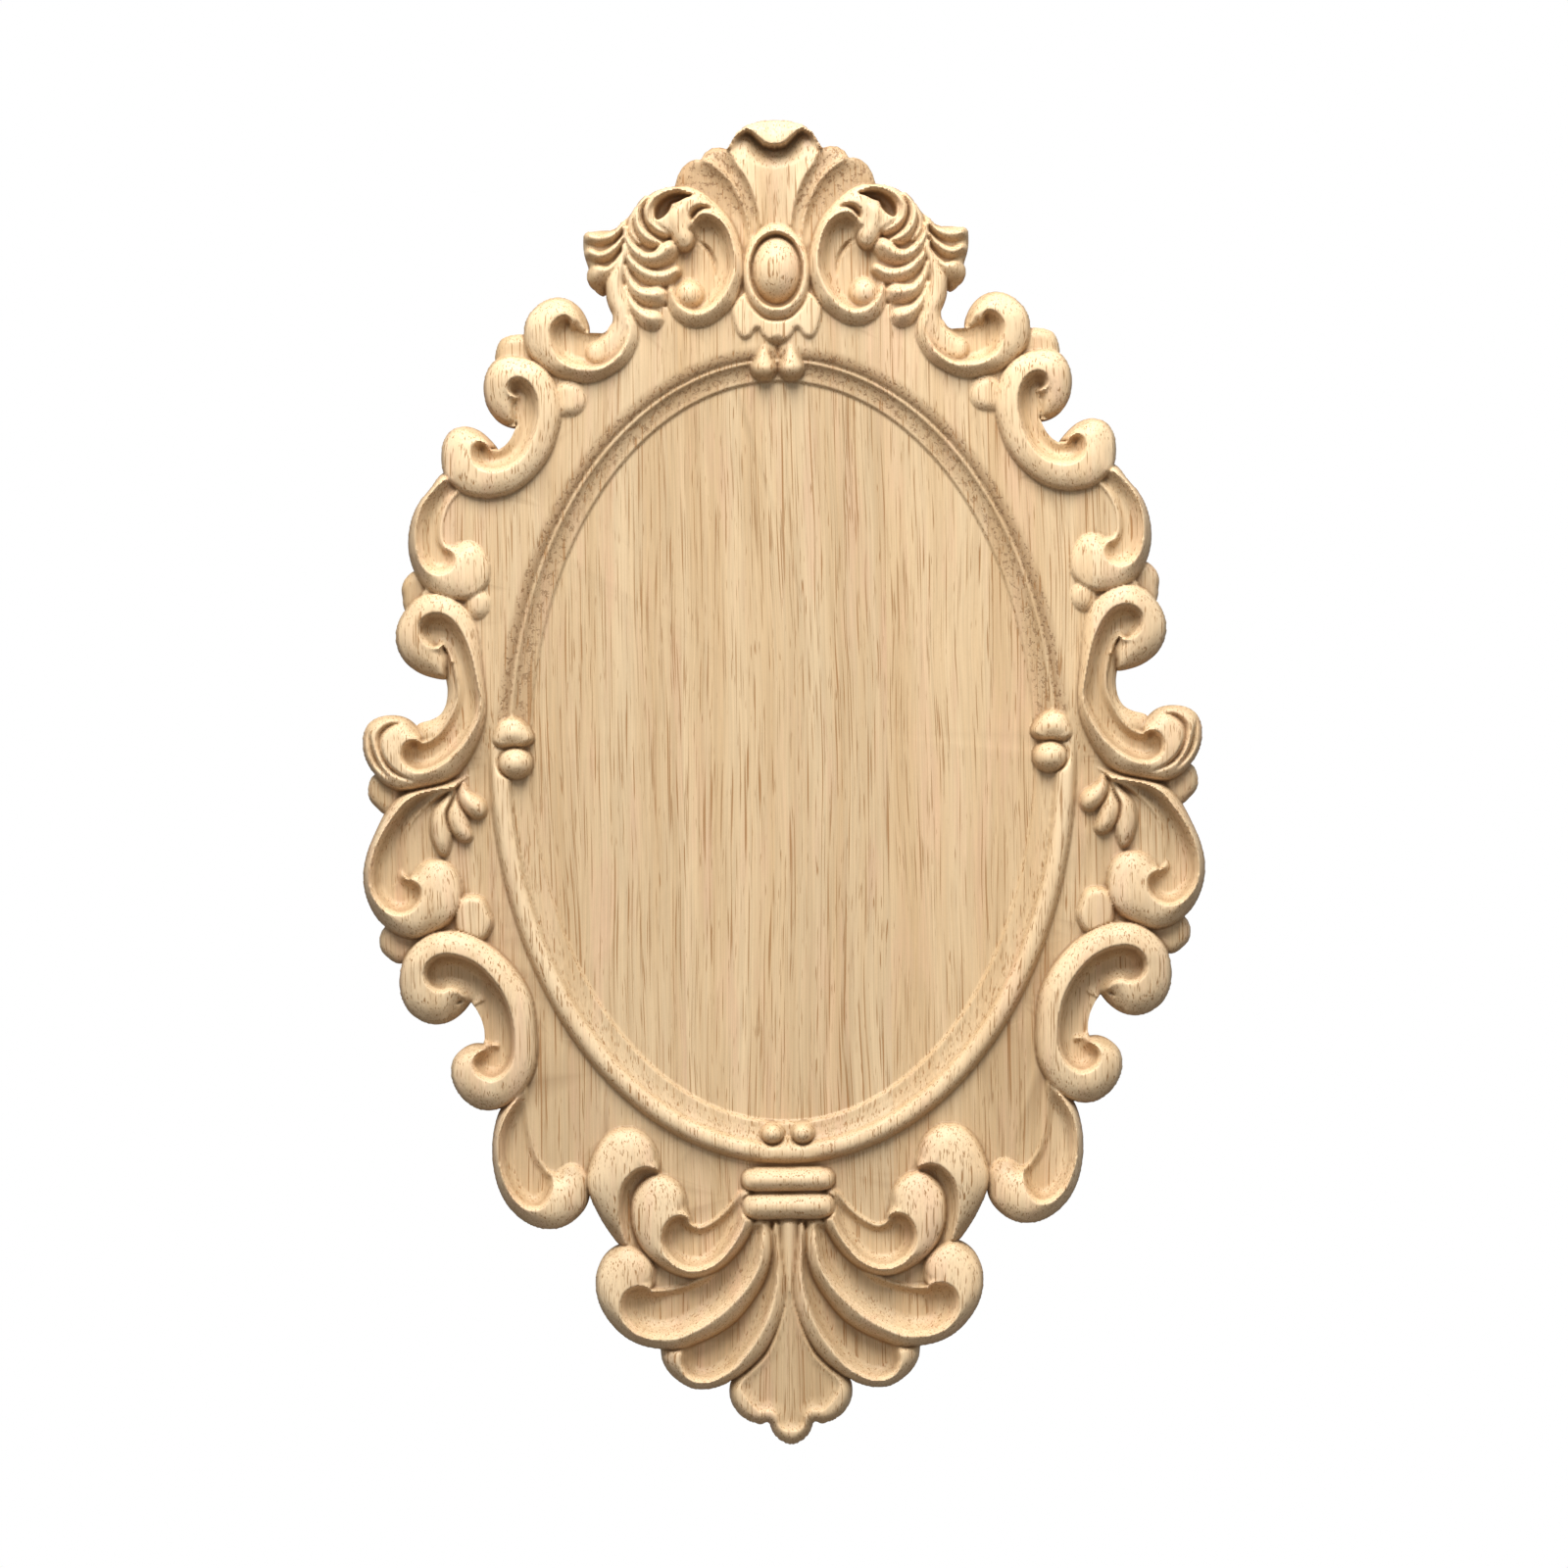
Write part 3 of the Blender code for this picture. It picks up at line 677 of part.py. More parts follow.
def inner_scroll(R):
    outer = [(-36.3, -154.5), (-37.1, -148.8), (-39.9, -143.9), (-44.2, -141.2), (-49, -141.2),
             (-53.3, -143.9), (-56.3, -148.6), (-57.1, -154.5), (-56.2, -161.2), (-53.2, -167.8),
             (-48.5, -173), (-43, -176.7), (-37, -178.6), (-31, -178.3), (-25.2, -175.8), (-20, -171.6),
             (-15.8, -166), (-12.6, -158.8), (-12.4, -152)]
    rim = [(-14.5, -146), (-17.9, -147.5), (-20.6, -151.4), (-24.4, -155.4), (-28.9, -158.6),
           (-32.6, -159.9), (-35.4, -158.8)]
    ridge = [(-35.6, -157.0, 14.5), (-37.4, -155.8, 16), (-39.9, -155.4, 17), (-42.6, -156.4, 17.5),
             (-44.7, -158.6, 18), (-46.0, -162, 18), (-45.9, -166.2, 18), (-43.7, -170.7, TOP),
             (-40, -173.8, TOP),
             (-35.3, -175.3, TOP), (-30.2, -174.6, TOP), (-25.6, -172, TOP), (-21.6, -167.6, TOP),
             (-18.3, -162.6, TOP), (-16.1, -157, TOP), (-15.4, -150, 18)]
    R.scroll(outer, rim, ridge, -1.0, 1.6)


def smooth(H, mask, sigma):
    """Softened heights, taken only from places inside the mask."""
    n = max(1, int(3 * sigma + 0.5))
    k = np.exp(-0.5 * (np.arange(-n, n + 1) / max(sigma, 1e-3)) ** 2)
    k /= k.sum()

    def blur(a):
        p = np.pad(a, n, mode="edge")
        r = sum(k[i] * p[i:i + a.shape[0], :] for i in range(2 * n + 1))
        return sum(k[i] * r[:, i:i + a.shape[1]] for i in range(2 * n + 1))

    level = blur(np.where(mask, H, 0.0)) / np.maximum(blur(mask.astype(float)), 1e-6)
    return np.where(mask, level, H)


ORNAMENTS = (board, moulding, shell, bib, cabochon, wing, crest_scroll, acanthus,
             shoulder_scroll, upper_leaf, upper_side_scroll, petals, lower_leaf, middle_scroll,
             foot_leaf, lower_scroll, side_beads, top_beads, bottom_beads, comma, finial,
             rib_petal, large_scroll, inner_scroll, collar)


def carve(step, rounding=ROUNDING):
    """Whole left half of the carving, ornament by ornament from the lowest up."""
    R = Relief(step)
    for ornament in ORNAMENTS:
        ornament(R)
    R.H = smooth(R.H, R.H > 0, rounding / step)
    return R


def surface(R):
    """Points and faces of the carved front, with the border moved onto the outline."""
    x = np.hstack([R.X, -R.X[:, -2::-1]])
    z = np.hstack([R.Z, R.Z[:, -2::-1]])
    H = np.hstack([R.H, R.H[:, -2::-1]])
    S = np.hstack([R.S, R.S[:, -2::-1]])
    keep = (S[:-1, :-1] + S[1:, :-1] + S[:-1, 1:] + S[1:, 1:]) > 0
    used = np.zeros(S.shape, int)
    for dj in (0, 1):
        for di in (0, 1):
            used[dj:dj + keep.shape[0], di:di + keep.shape[1]] += keep
    border = (used > 0) & (used < 4)
    gz, gx = np.gradient(S, R.step)
    n = np.maximum(np.hypot(gx, gz), 1e-6)
    slip = np.clip(S, -1.2 * R.step, 1.2 * R.step)
    x = np.where(border, x - slip * gx / n, x)
    z = np.where(border, z - slip * gz / n, z)
    index = -np.ones(S.shape, int)
    index[used > 0] = np.arange((used > 0).sum())
    j, i = np.nonzero(keep)
    faces = np.c_[index[j, i], index[j, i + 1], index[j + 1, i + 1], index[j + 1, i]]
    at = used > 0
    return np.c_[x[at], -H[at], z[at]] * 0.001, faces


def make_panel():
    """Front surface, side walls down to the flat back, then thinned to a light faceted solid."""
    points, faces = surface(carve(GRID))
    mesh = bpy.data.meshes.new("carved_panel")
    mesh.from_pydata(points.tolist(), [], faces.tolist())
    bm = bmesh.new()
    bm.from_mesh(mesh)
    loose = [e for e in bm.edges if e.is_boundary]
    made = bmesh.ops.extrude_edge_only(bm, edges=loose)["geom"]
    for v in made:
        if isinstance(v, bmesh.types.BMVert):
            v.co.y = 0.0
    rim = [e for e in bm.edges if e.is_boundary]
    bmesh.ops.triangle_fill(bm, edges=rim, use_beauty=True, normal=(0, 1, 0))
    bmesh.ops.triangulate(bm, faces=[f for f in bm.faces if len(f.verts) > 3])
    bmesh.ops.recalc_face_normals(bm, faces=bm.faces)
    count = len(bm.faces)
    bm.to_mesh(mesh)
    bm.free()
    panel = bpy.data.objects.new("carved_panel", mesh)
    bpy.context.collection.objects.link(panel)
    thin = panel.modifiers.new("thin", "DECIMATE")
    thin.decimate_type = "COLLAPSE"
    thin.ratio = min(1.0, TRIANGLES / count)
    return panel


def make_wood():
    wood = bpy.data.materials.new("pale_wood")
    wood.use_nodes = True
    shader = next(n for n in wood.node_tree.nodes if n.type == "BSDF_PRINCIPLED")
    shader.inputs["Base Color"].default_value = WOOD
    shader.inputs["Roughness"].default_value = WOOD_ROUGHNESS
    shader.inputs["Metallic"].default_value = 0.0
    return wood


def build():
    for obj in list(bpy.data.objects):
        bpy.data.objects.remove(obj, do_unlink=True)
    make_panel().data.materials.append(make_wood())


build()
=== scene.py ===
"""Carved wooden applique: the carved panel with its relief and its wood, and the studio round it.

The frame is in metres, with +Z up, the front facing -Y and the flat back on Y = 0.
The carving is worked out in millimetres for the left half, and mirrored.
"""
import math

import bmesh
import bpy
import numpy as np
from bpy.props import FloatProperty, FloatVectorProperty, IntProperty, PointerProperty
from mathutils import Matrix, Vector


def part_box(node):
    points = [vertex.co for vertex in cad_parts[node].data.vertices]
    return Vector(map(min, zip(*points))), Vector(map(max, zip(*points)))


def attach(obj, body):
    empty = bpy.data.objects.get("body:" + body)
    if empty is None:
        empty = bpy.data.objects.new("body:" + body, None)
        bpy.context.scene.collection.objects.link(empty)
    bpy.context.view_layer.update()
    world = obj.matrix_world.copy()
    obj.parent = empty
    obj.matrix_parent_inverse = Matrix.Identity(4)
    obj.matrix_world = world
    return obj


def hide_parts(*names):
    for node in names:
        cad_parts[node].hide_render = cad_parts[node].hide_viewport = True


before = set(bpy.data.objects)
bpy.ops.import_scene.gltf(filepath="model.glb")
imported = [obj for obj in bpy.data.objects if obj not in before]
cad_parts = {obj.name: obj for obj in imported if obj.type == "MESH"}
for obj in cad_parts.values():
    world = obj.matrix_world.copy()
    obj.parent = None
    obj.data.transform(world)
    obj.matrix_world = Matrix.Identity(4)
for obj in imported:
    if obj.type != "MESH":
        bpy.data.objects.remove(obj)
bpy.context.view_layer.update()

bl_info = {
    "name": "Carved wooden applique",
    "version": (1, 0, 0),
    "blender": (4, 5, 0),
    "location": "3D View > Sidebar > Applique",
    "description": "Builds a carved oval applique with its wood and a plain studio",
    "category": "Object",
}

LOWEST = Vector(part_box("carved_panel")[0])

MM = 0.001
CREASE_ANGLE = 55.0
FLOOR_COLOUR = (0.82, 0.81, 0.79, 1.0)
LIGHT_SIDE = Vector((-0.08, -0.78, 1.10))
PORE_LAYERS = ((0.9, 2.2, 0.595), (1.0, 1.2, 0.63), (0.9, 0.5, 0.655))
# painted shade in the creases: reach of the softening it is measured against, and the depths where it
# starts and where it is full
CREASE_SHADE_REACH = 1.1
CREASE_SHADE_START = 0.35
CREASE_SHADE_DEPTH = 0.7
RAISED_WOOD = (0.0125, 0.0150)
ROUGH_FLUTES = [(-17.6, 232.5), (-12.6, 223.4), (-9.4, 218), (-7.2, 213), (-5.6, 207), (-4.8, 199),
                (-9.4, 196), (-13, 203), (-19, 208.6), (-25, 213.8), (-33, 216.8), (-37.5, 218),
                (-36.5, 224), (-30, 228.5), (-22, 232.5)]
PICTURE_SHIFT = 0.00036
FOOT = 5.0
EDGE = 8.0
GROUND_LOW = 10.5
GROUND_HIGH = 13.0
FIELD = 8.0
OVAL_Z = 11.8
OVAL_A = 91.0
OVAL_B = 134.0
TOP = 18.5
ROUNDING = 0.4
GRID_SIDE = 156.0
GRID_RISE = 243.0
FINE = 0.8
POINTS_AT_ONCE = 40000
WINDOW_MARGIN = 4.0
OUTSIDE = -50.0
TIP_GAP = 0.6
TIP_BLEND = 0.3
TIP_REACH = 9.0
RIM_BLEND = 3.5
FLANK_SOFTNESS = 1.4
NEIGHBOUR_GAP = 2.0
NEIGHBOUR_RISE = 2.0
NEIGHBOUR_DROP = 0.6
LEVEL_POINTS = 7
LEAN_GRAIN = (14.0, 14.0, 5.0)
BAND_GRAIN = (90.0, 50.0, 2.5)
FIBRE_GRAIN = (2000.0, 2000.0, 26.0)
BLUSH_GRAIN = (120.0, 80.0, 14.0)
SPECKLE_GRAIN = (1500.0, 1500.0, 900.0)
PIT_GRAIN = (720.0, 720.0, 560.0)
BLUSH_SHARE = 0.5
# share of the paler raised wood: painted highlight, and the paler sanded surface
SANDED_AND_HIGHLIGHT_SHARE = 0.15
# share of the browner undersides: end grain, and painted shade
END_GRAIN_AND_SHADE_SHARE = 0.36
ROUGH_SHARE = 0.75
# share of the painted shade in the creases
CREASE_SHADE_SHARE = 0.85
PIT_SHARE = 0.9
PORE_SHARE = 0.95
SKY_BELOW = 0.35
SKY_ABOVE = 1.7


def curve(stations, step=1.0, closed=False):
    """Smooth line through a few stations."""
    p = np.array(stations, float)
    if closed:
        q = np.vstack([p[-1], p, p[0], p[1]])
    else:
        q = np.vstack([2 * p[0] - p[1], p, 2 * p[-1] - p[-2]])
    out = []
    for p0, p1, p2, p3 in zip(q[:-3], q[1:-2], q[2:-1], q[3:]):
        spans = ((p0, p1), (p1, p2), (p2, p3))
        a, b, c = (max(np.hypot(*(v - u)[:2]), 1e-6) ** 0.5 for u, v in spans)
        m1 = (p2 - p1) + b * ((p1 - p0) / a - (p2 - p0) / (a + b))
        m2 = (p2 - p1) + b * ((p3 - p2) / c - (p3 - p1) / (b + c))
        n = max(2, int(np.hypot(*(p2 - p1)[:2]) / step) + 1)
        t = np.linspace(0, 1, n, endpoint=False)[:, None]
        out.append((2 * t**3 - 3 * t**2 + 1) * p1 + (t**3 - 2 * t**2 + t) * m1
                   + (3 * t**2 - 2 * t**3) * p2 + (t**3 - t**2) * m2)
    out.append(q[-2][None])
    return np.vstack(out)


def near(line, x, z):
    """Distance of points from a line, their side of it, whether they are past its ends,
    and the place on the line that is nearest."""
    a, b = line[:-1, :2], line[1:, :2]
    v = b - a
    l2 = np.maximum((v**2).sum(1), 1e-12)
    unit = v / np.sqrt(l2)[:, None]
    tan = np.zeros((len(line), 2))
    tan[:-1] += unit
    tan[1:] += unit
    dist, side, place = np.empty(len(x)), np.empty(len(x)), np.empty(len(x))
    past = np.empty(len(x), bool)
    for i in range(0, len(x), POINTS_AT_ONCE):
        part = slice(i, i + POINTS_AT_ONCE)
        px, pz = x[part, None], z[part, None]
        t = np.clip(((px - a[:, 0]) * v[:, 0] + (pz - a[:, 1]) * v[:, 1]) / l2, 0, 1)
        dx, dz = px - a[:, 0] - t * v[:, 0], pz - a[:, 1] - t * v[:, 1]
        d2 = dx * dx + dz * dz
        k = d2.argmin(1)
        r = np.arange(len(k))
        tk, ex, ez = t[r, k], dx[r, k], dz[r, k]
        tx = tan[k, 0] * (1 - tk) + tan[k + 1, 0] * tk
        tz = tan[k, 1] * (1 - tk) + tan[k + 1, 1] * tk
        along = tx * ex + tz * ez
        dist[part] = np.sqrt(d2[r, k])
        side[part] = tx * ez - tz * ex
        before = (k == 0) & (tk <= 0) & (along < 0)
        beyond = (k == len(a) - 1) & (tk >= 1) & (along > 0)
        past[part] = before | beyond
        place[part] = k + tk
    return dist, side, past, place


def inside(poly, x, z):
    ok = np.zeros(len(x), bool)
    for a, b in zip(np.roll(poly, 1, 0), poly):
        if a[1] != b[1]:
            ok ^= ((a[1] > z) != (b[1] > z)) & (x < (b[0] - a[0]) * (z - a[1]) / (b[1] - a[1]) + a[0])
    return ok


def ease(u):
    u = np.clip(u, 0, 1)
    return u * u * (3 - 2 * u)


def valley(u):
    return np.clip(np.sin(np.pi * u), 0, 1)


def dome(u, p=2.0):
    """Rise from 0 at the edge to 1, steep at first and then level."""
    return (1 - (1 - np.clip(u, 0, 1)) ** p) ** (1 / p)


def ground(z):
    """Level of the board between the ornaments: a little higher in the upper half."""
    return GROUND_LOW + (GROUND_HIGH - GROUND_LOW) * ease((z - 5) / 25)


def both(stations):
    """Stations of the left half, from the axis round to the axis again, followed by their mirror image."""
    return list(stations) + [(-x, z) for x, z in stations[::-1] if abs(x) > 1e-6]


class Relief:
    """Left half of the carving: height H above the back, and depth S inside the outline."""

    def __init__(self, step):
        self.step = step
        nx, nz = int(GRID_SIDE / step) + 1, int(GRID_RISE / step)
        self.xs = -np.arange(nx)[::-1] * step
        self.zs = np.arange(-nz, nz + 1) * step
        self.X, self.Z = np.meshgrid(self.xs, self.zs)
        self.H = np.zeros_like(self.X)
        self.S = np.full_like(self.X, OUTSIDE)

    def window(self, pts, pad):
        x0, z0 = pts[:, :2].min(0) - pad
        x1, z1 = pts[:, :2].max(0) + pad
        i0, i1 = np.searchsorted(self.xs, (x0, x1))
        j0, j1 = np.searchsorted(self.zs, (z0, z1))
        w = (slice(j0, j1 + 1), slice(i0, i1 + 1))
        return w, self.X[w].ravel(), self.Z[w].ravel()

    def footprint(self, poly):
        """Grid window of a closed outline, its points, and their depth inside the outline."""
        w, x, z = self.window(poly, WINDOW_MARGIN)
        d = near(np.vstack([poly, poly[:1]]), x, z)[0]
        return w, x, z, np.where(inside(poly, x, z), d, -d)

    def lay(self, w, depth, height, how="over"):
        """Sets a shape over what is below it, only where it is higher or lower, or cut right into it."""
        depth, height = depth.reshape(self.X[w].shape), height.reshape(self.X[w].shape)
        below = self.H[w]
        if how == "over":
            new = np.maximum(height, np.minimum(below, ground(self.Z[w])))
        elif how == "max":
            new = np.maximum(height, below)
        elif how == "min":
            new = np.minimum(height, below)
        else:
            new = height
        share = np.where(below > 0, np.clip(depth / self.step + 0.5, 0, 1), 0)
        bare = (below <= 0) & (depth > -2.5 * self.step) & (how != "min")
        self.H[w] = np.where(bare, height, below + (new - below) * share)
        if how != "min":
            self.S[w] = np.maximum(self.S[w], depth)

    def soften(self, w, depth, height, reach):
        """Rounds a shape's inner creases over a reach, and keeps its edge."""
        shape = self.X[w].shape
        soft = smooth(height.reshape(shape), depth.reshape(shape) > 0, reach / self.step).ravel()
        return height + (soft - height) * ease(depth / reach - 0.8)

    def lobe(self, edge, top, width, foot=FOOT, how="over", p=2.0):
        """Pillow with a smooth outline, rounded over a given width inside its edge."""
        w, x, z, depth = self.footprint(curve(edge, 1.0, True)[:-1])
        height = foot + (top - foot) * dome(depth / width, p)
        self.lay(w, depth, self.soften(w, depth, height, 0.3 * width), how)

    def dish(self, edge, rim, sunk, width):
        """Hollow inside a smooth outline."""
        w, x, z, depth = self.footprint(curve(edge, 1.0, True)[:-1])
        self.lay(w, depth, rim - sunk * dome(depth / width), "min")

    def ball(self, cx, cz, rx, rz, top, foot=FOOT, how="max"):
        """Round or egg-shaped bead."""
        a = np.radians(np.arange(0, 360, 10))
        w, x, z, depth = self.footprint(np.c_[cx + rx * np.cos(a), cz + rz * np.sin(a)])
        u, v = (x - cx) / rx, (z - cz) / rz
        self.lay(w, depth, foot + (top - foot) * np.sqrt(np.clip(1 - u * u - v * v, 0, 1)), how)

    def strand(self, stations, top=TOP, foot=FOOT, how="max", p=2.0, q=None):
        """Strand through stations x, z, width on its left, width on its right, and height.
        Its sides are round where p (left) and q (right) are 2, and straight where they are 1."""
        line = curve(stations, FINE)
        w, x, z = self.window(line, line[:, 2:4].max() + 3)
        d, side, past, place = near(line, x, z)
        n = np.arange(len(line))
        left = np.interp(place, n, line[:, 2])
        right = np.interp(place, n, line[:, 3]) if line.shape[1] > 3 else left
        top = np.interp(place, n, line[:, 4]) if line.shape[1] > 4 else top
        s = np.clip(side / np.maximum(d, 1e-6), -1, 1)
        width = np.where(past, right + (left - right) * (0.5 + 0.5 * s), np.where(side > 0, left, right))
        rise = np.where(side > 0, dome(1 - d / width, p), dome(1 - d / width, q or p))
        self.lay(w, width - d, foot + (top - foot) * rise, how)

    def beside(self, line, outward):
        """Level of what already lies just beyond a line, or the height of the free edge
        where nothing does."""
        tan = np.gradient(line[:, :2], axis=0)
        tan /= np.maximum(np.hypot(tan[:, 0], tan[:, 1]), 1e-6)[:, None]
        q = line[:, :2] + NEIGHBOUR_GAP * outward * np.c_[-tan[:, 1], tan[:, 0]]
        i = np.clip(np.rint((q[:, 0] - self.xs[0]) / self.step).astype(int), 0, len(self.xs) - 1)
        j = np.clip(np.rint((q[:, 1] - self.zs[0]) / self.step).astype(int), 0, len(self.zs) - 1)
        highest = ground(q[:, 1]) + NEIGHBOUR_RISE
        level = np.where(self.S[j, i] > 0, np.minimum(self.H[j, i], highest) - NEIGHBOUR_DROP, EDGE)
        k = np.ones(LEVEL_POINTS) / LEVEL_POINTS
        return np.convolve(np.pad(level, LEVEL_POINTS // 2, mode="edge"), k, mode="valid")

    def scroll(self, outer, rim, ridge, floor, lip, wall=4.8, q=1.7):
        """Hollowed scroll: a flank from the outer edge up to the ridge, then a cove down to the rim.
        Ridge stations are x, z and height. Floor and lip are heights above the ground, and lip may be
        a pair, for the start and the end of the rim."""
        o, r, c = curve(outer), curve(rim), curve(ridge, FINE)
        w, x, z, depth = self.footprint(np.vstack([o, r]))
        dc, side, past, place = near(c, x, z)
        do, _, _, po = near(o, x, z)
        dr, _, _, pr = near(r, x, z)
        mid = o[len(o) // 2:len(o) // 2 + 1]
        sign = np.sign(near(c, mid[:, 0], mid[:, 1])[1][0])
        step_in = c[len(c) // 2:len(c) // 2 + 1]
        foot = self.beside(o, -np.sign(near(o, step_in[:, 0], step_in[:, 1])[1][0]))
        foot = np.interp(po, np.arange(len(o)), foot)
        side = side * sign
        # past the ridge's ends, what lies nearest to the outer edge is flank, and the rest is cove
        fan = ease(0.5 + 0.5 * side / np.maximum(dc, 1e-6))
        far = ease(dc / 4)
        faded = (1 - far) * fan + far * np.minimum(fan, ease(0.5 + (np.minimum(dr, dc) - do) / 2))
        # where ridge, edge and rim end in one tip, the flank ends at the crease that runs on from it
        tips = np.hypot(*(c[[0, -1], :2] - o[[0, -1]]).T) < TIP_GAP
        tipped = np.where(place < len(c) / 2, tips[0], tips[1])
        outward = np.where(past, np.where(tipped, ease((dr - do) / TIP_BLEND), faded), side > 0)
        top = np.interp(place, np.arange(len(c)), c[:, 2])
        u = np.where(depth > 0, do / np.maximum(do + dc, 1e-6), 0)
        p = 1.3 + 1.3 * ease((do + dc - 4) / 6)
        flank = foot + (top - foot) * dome(u, p)
        soft = self.soften(w, depth, flank, FLANK_SOFTNESS)
        flank = flank + (soft - flank) * ease((do + dc) / 4 - 1.2) * ease(dc / 2)
        bed, end = ground(z) + floor, ground(z) + np.interp(pr / (len(r) - 1), [0, 1],
                                                            np.broadcast_to(lip, 2))
        # the wall of the cove is steep under the ridge's tips
        tip = np.minimum(place, len(c) - 1 - place) * FINE
        reach = wall * np.where(tipped, 0.3 + 0.7 * ease(tip / TIP_REACH), 1)
        cove = bed + (top - bed) * (1 - dome(dc / reach, q)) + (end - bed) * ease(1 - dr / RIM_BLEND)
        cove = np.where(depth > 0, cove, end)
        self.lay(w, depth, outward * flank + (1 - outward) * cove, "cut")

    def groove(self, stations):
        """V cut through stations x, z, half width and depth."""
        line = curve(stations, FINE)
        w, x, z = self.window(line, line[:, 2].max() + 1)
        d, side, past, place = near(line, x, z)
        n = np.arange(len(line))
        half = np.maximum(np.interp(place, n, line[:, 2]), 0.05)
        cut = np.interp(place, n, line[:, 3]) * np.clip(1 - d / half, 0, 1)
        self.H[w] = np.where(self.H[w] > 0, self.H[w] - cut.reshape(self.X[w].shape), self.H[w])


def board(R):
    """Board left standing between the ornaments."""
    edge = np.array([(1, 172), (-30, 172), (-50, 172), (-58, 175), (-59.6, 168), (-60, 166),
                     (-63, 164.1), (-68.4, 164.3), (-74, 160), (-84, 154), (-98, 150), (-84, 146),
                     (-84, 120), (-92, 112), (-112, 109), (-120, 110), (-126, 101), (-128, 90),
                     (-125, 76), (-130, 68), (-118, 64), (-112, 52), (-109.5, 40), (-109.5, 25),
                     (-115, 11), (-124, 4), (-140, -8), (-146, -22), (-146, -36), (-138, -50),
                     (-124, -54), (-112, -58), (-100, -68), (-94, -85), (-94, -98), (-101, -112),
                     (-103, -126), (-102, -140), (-95, -152), (-82, -154), (-73, -146), (-66, -142),
                     (-60, -160), (-58, -175), (-60, -190), (-48, -199), (-28, -206), (-16, -209),
                     (-8, -215), (1, -220)], float)
    w, x, z, depth = R.footprint(edge)
    R.lay(w, depth, ground(z), "max")
    crest = np.array([(1, 165), (-52, 168), (-57, 185), (-58, 200), (-52, 207), (-44, 214), (-30, 214),
                      (-20, 205), (1, 205)], float)
    w, x, z, depth = R.footprint(crest)
    R.lay(w, depth, np.full(len(x), 11.5), "max")


def past_oval(x, z):
    """Distance outward from the edge of the sunk field, and below zero inside it."""
    k = np.sqrt((x / OVAL_A) ** 2 + ((z - OVAL_Z) / OVAL_B) ** 2)
    slope = np.sqrt((x / OVAL_A**2) ** 2 + ((z - OVAL_Z) / OVAL_B**2) ** 2)
    return k * (k - 1) / np.maximum(slope, 1e-6)


def moulding(R):
    """Sunk oval field and the moulding round it."""
    d = past_oval(R.X, R.Z)
    level = ground(R.Z)
    # upper half: the board rolls down to a fillet, then a cove and a step to the field
    roll = FIELD + 2.9 + (level - FIELD - 2.9) * dome((d - 8.5) / 5.5)
    cove = FIELD + np.interp(d, [0, 0.7, 2.5, 5.0, 6.6, 7.2, 7.9, 8.5],
                             [0, 1.2, 1.1, 1.7, 2.6, 3.5, 3.5, 2.9])
    upper = np.where(d > 8.5, roll, cove)
    # lower half: a bright edge, a gentle cove, an incised line and a bead with a round outer flank
    bead = FIELD + 3.6 + 3.2 * np.sqrt(np.clip(1 - ((d - 11.6) / 4.0) ** 2, 0, 1))
    drop = np.sqrt(np.clip(1 - ((d - 11.6) / 3.9) ** 2, 0, 1))
    flank = np.maximum(level, level - 1 + (FIELD + 7.8 - level) * drop)
    trough = FIELD + np.interp(d, [0, 0.9, 3.0, 6.0, 7.6], [0, 1.7, 1.9, 2.7, 3.6])
    lower = np.where(d > 11.6, flank, np.where(d > 7.6, bead, trough))
    lower = lower - 0.7 * np.clip(1 - np.abs(d - 7.8) / 0.6, 0, 1)
    share = 1 - ease((R.Z - 2) / 20)
    R.H = np.where((d < 15.4) & (R.H > 0), lower * share + upper * (1 - share), R.H)


def side_beads(R):
    R.lobe([(-105.3, 16.5), (-104.6, 20.5), (-102.8, 24.2), (-99.0, 26.0), (-94.6, 25.0), (-91.2, 21.2),
            (-90.2, 17.2), (-93.5, 14.4), (-99, 13.9), (-103, 14.2)], 17.0, 5.8, foot=9)
    R.ball(-97.0, 8.8, 6.5, 6.1, 17.5, foot=9, how="over")


def top_beads(R):
    R.strand([(-4.6, 159.6, 2.0, 2.4, 13.0), (-4.8, 155.6, 3.7, 4.0, 14.4), (-5.0, 151.2, 5.1, 5.0, 15.8)],
             foot=8)
    R.groove([(0, 159.2, 3.4, 2.4), (0, 157.6, 2.0, 2.8), (0, 155.0, 0.4, 1.2)])


def bottom_beads(R):
    R.strand([(-18, -131.6, 3.0, 3.0, 14.4), (-11, -133.6, 3.2, 3.2, 14.6), (-5.5, -134.2, 2.6, 2.8, 14.8),
              (-1.6, -131.6, 1.8, 1.8, 14.5), (-0.4, -128.0, 0.5, 0.5, 13)], foot=9.5)
    R.ball(-5.5, -126.7, 4.6, 4.3, 16.0, foot=8, how="over")


def collar(R):
    for low, high in ((-147.8, -138.8), (-157.8, -147.8)):
        m = (low + high) / 2
        half = [(0, high), (-12.5, high - 0.1), (-15.8, high - 1.4), (-17.0, m), (-15.8, low + 1.4),
                (-12.5, low + 0.1), (0, low)]
        R.lobe(both(half), 18.0, (high - low) / 2, foot=10)


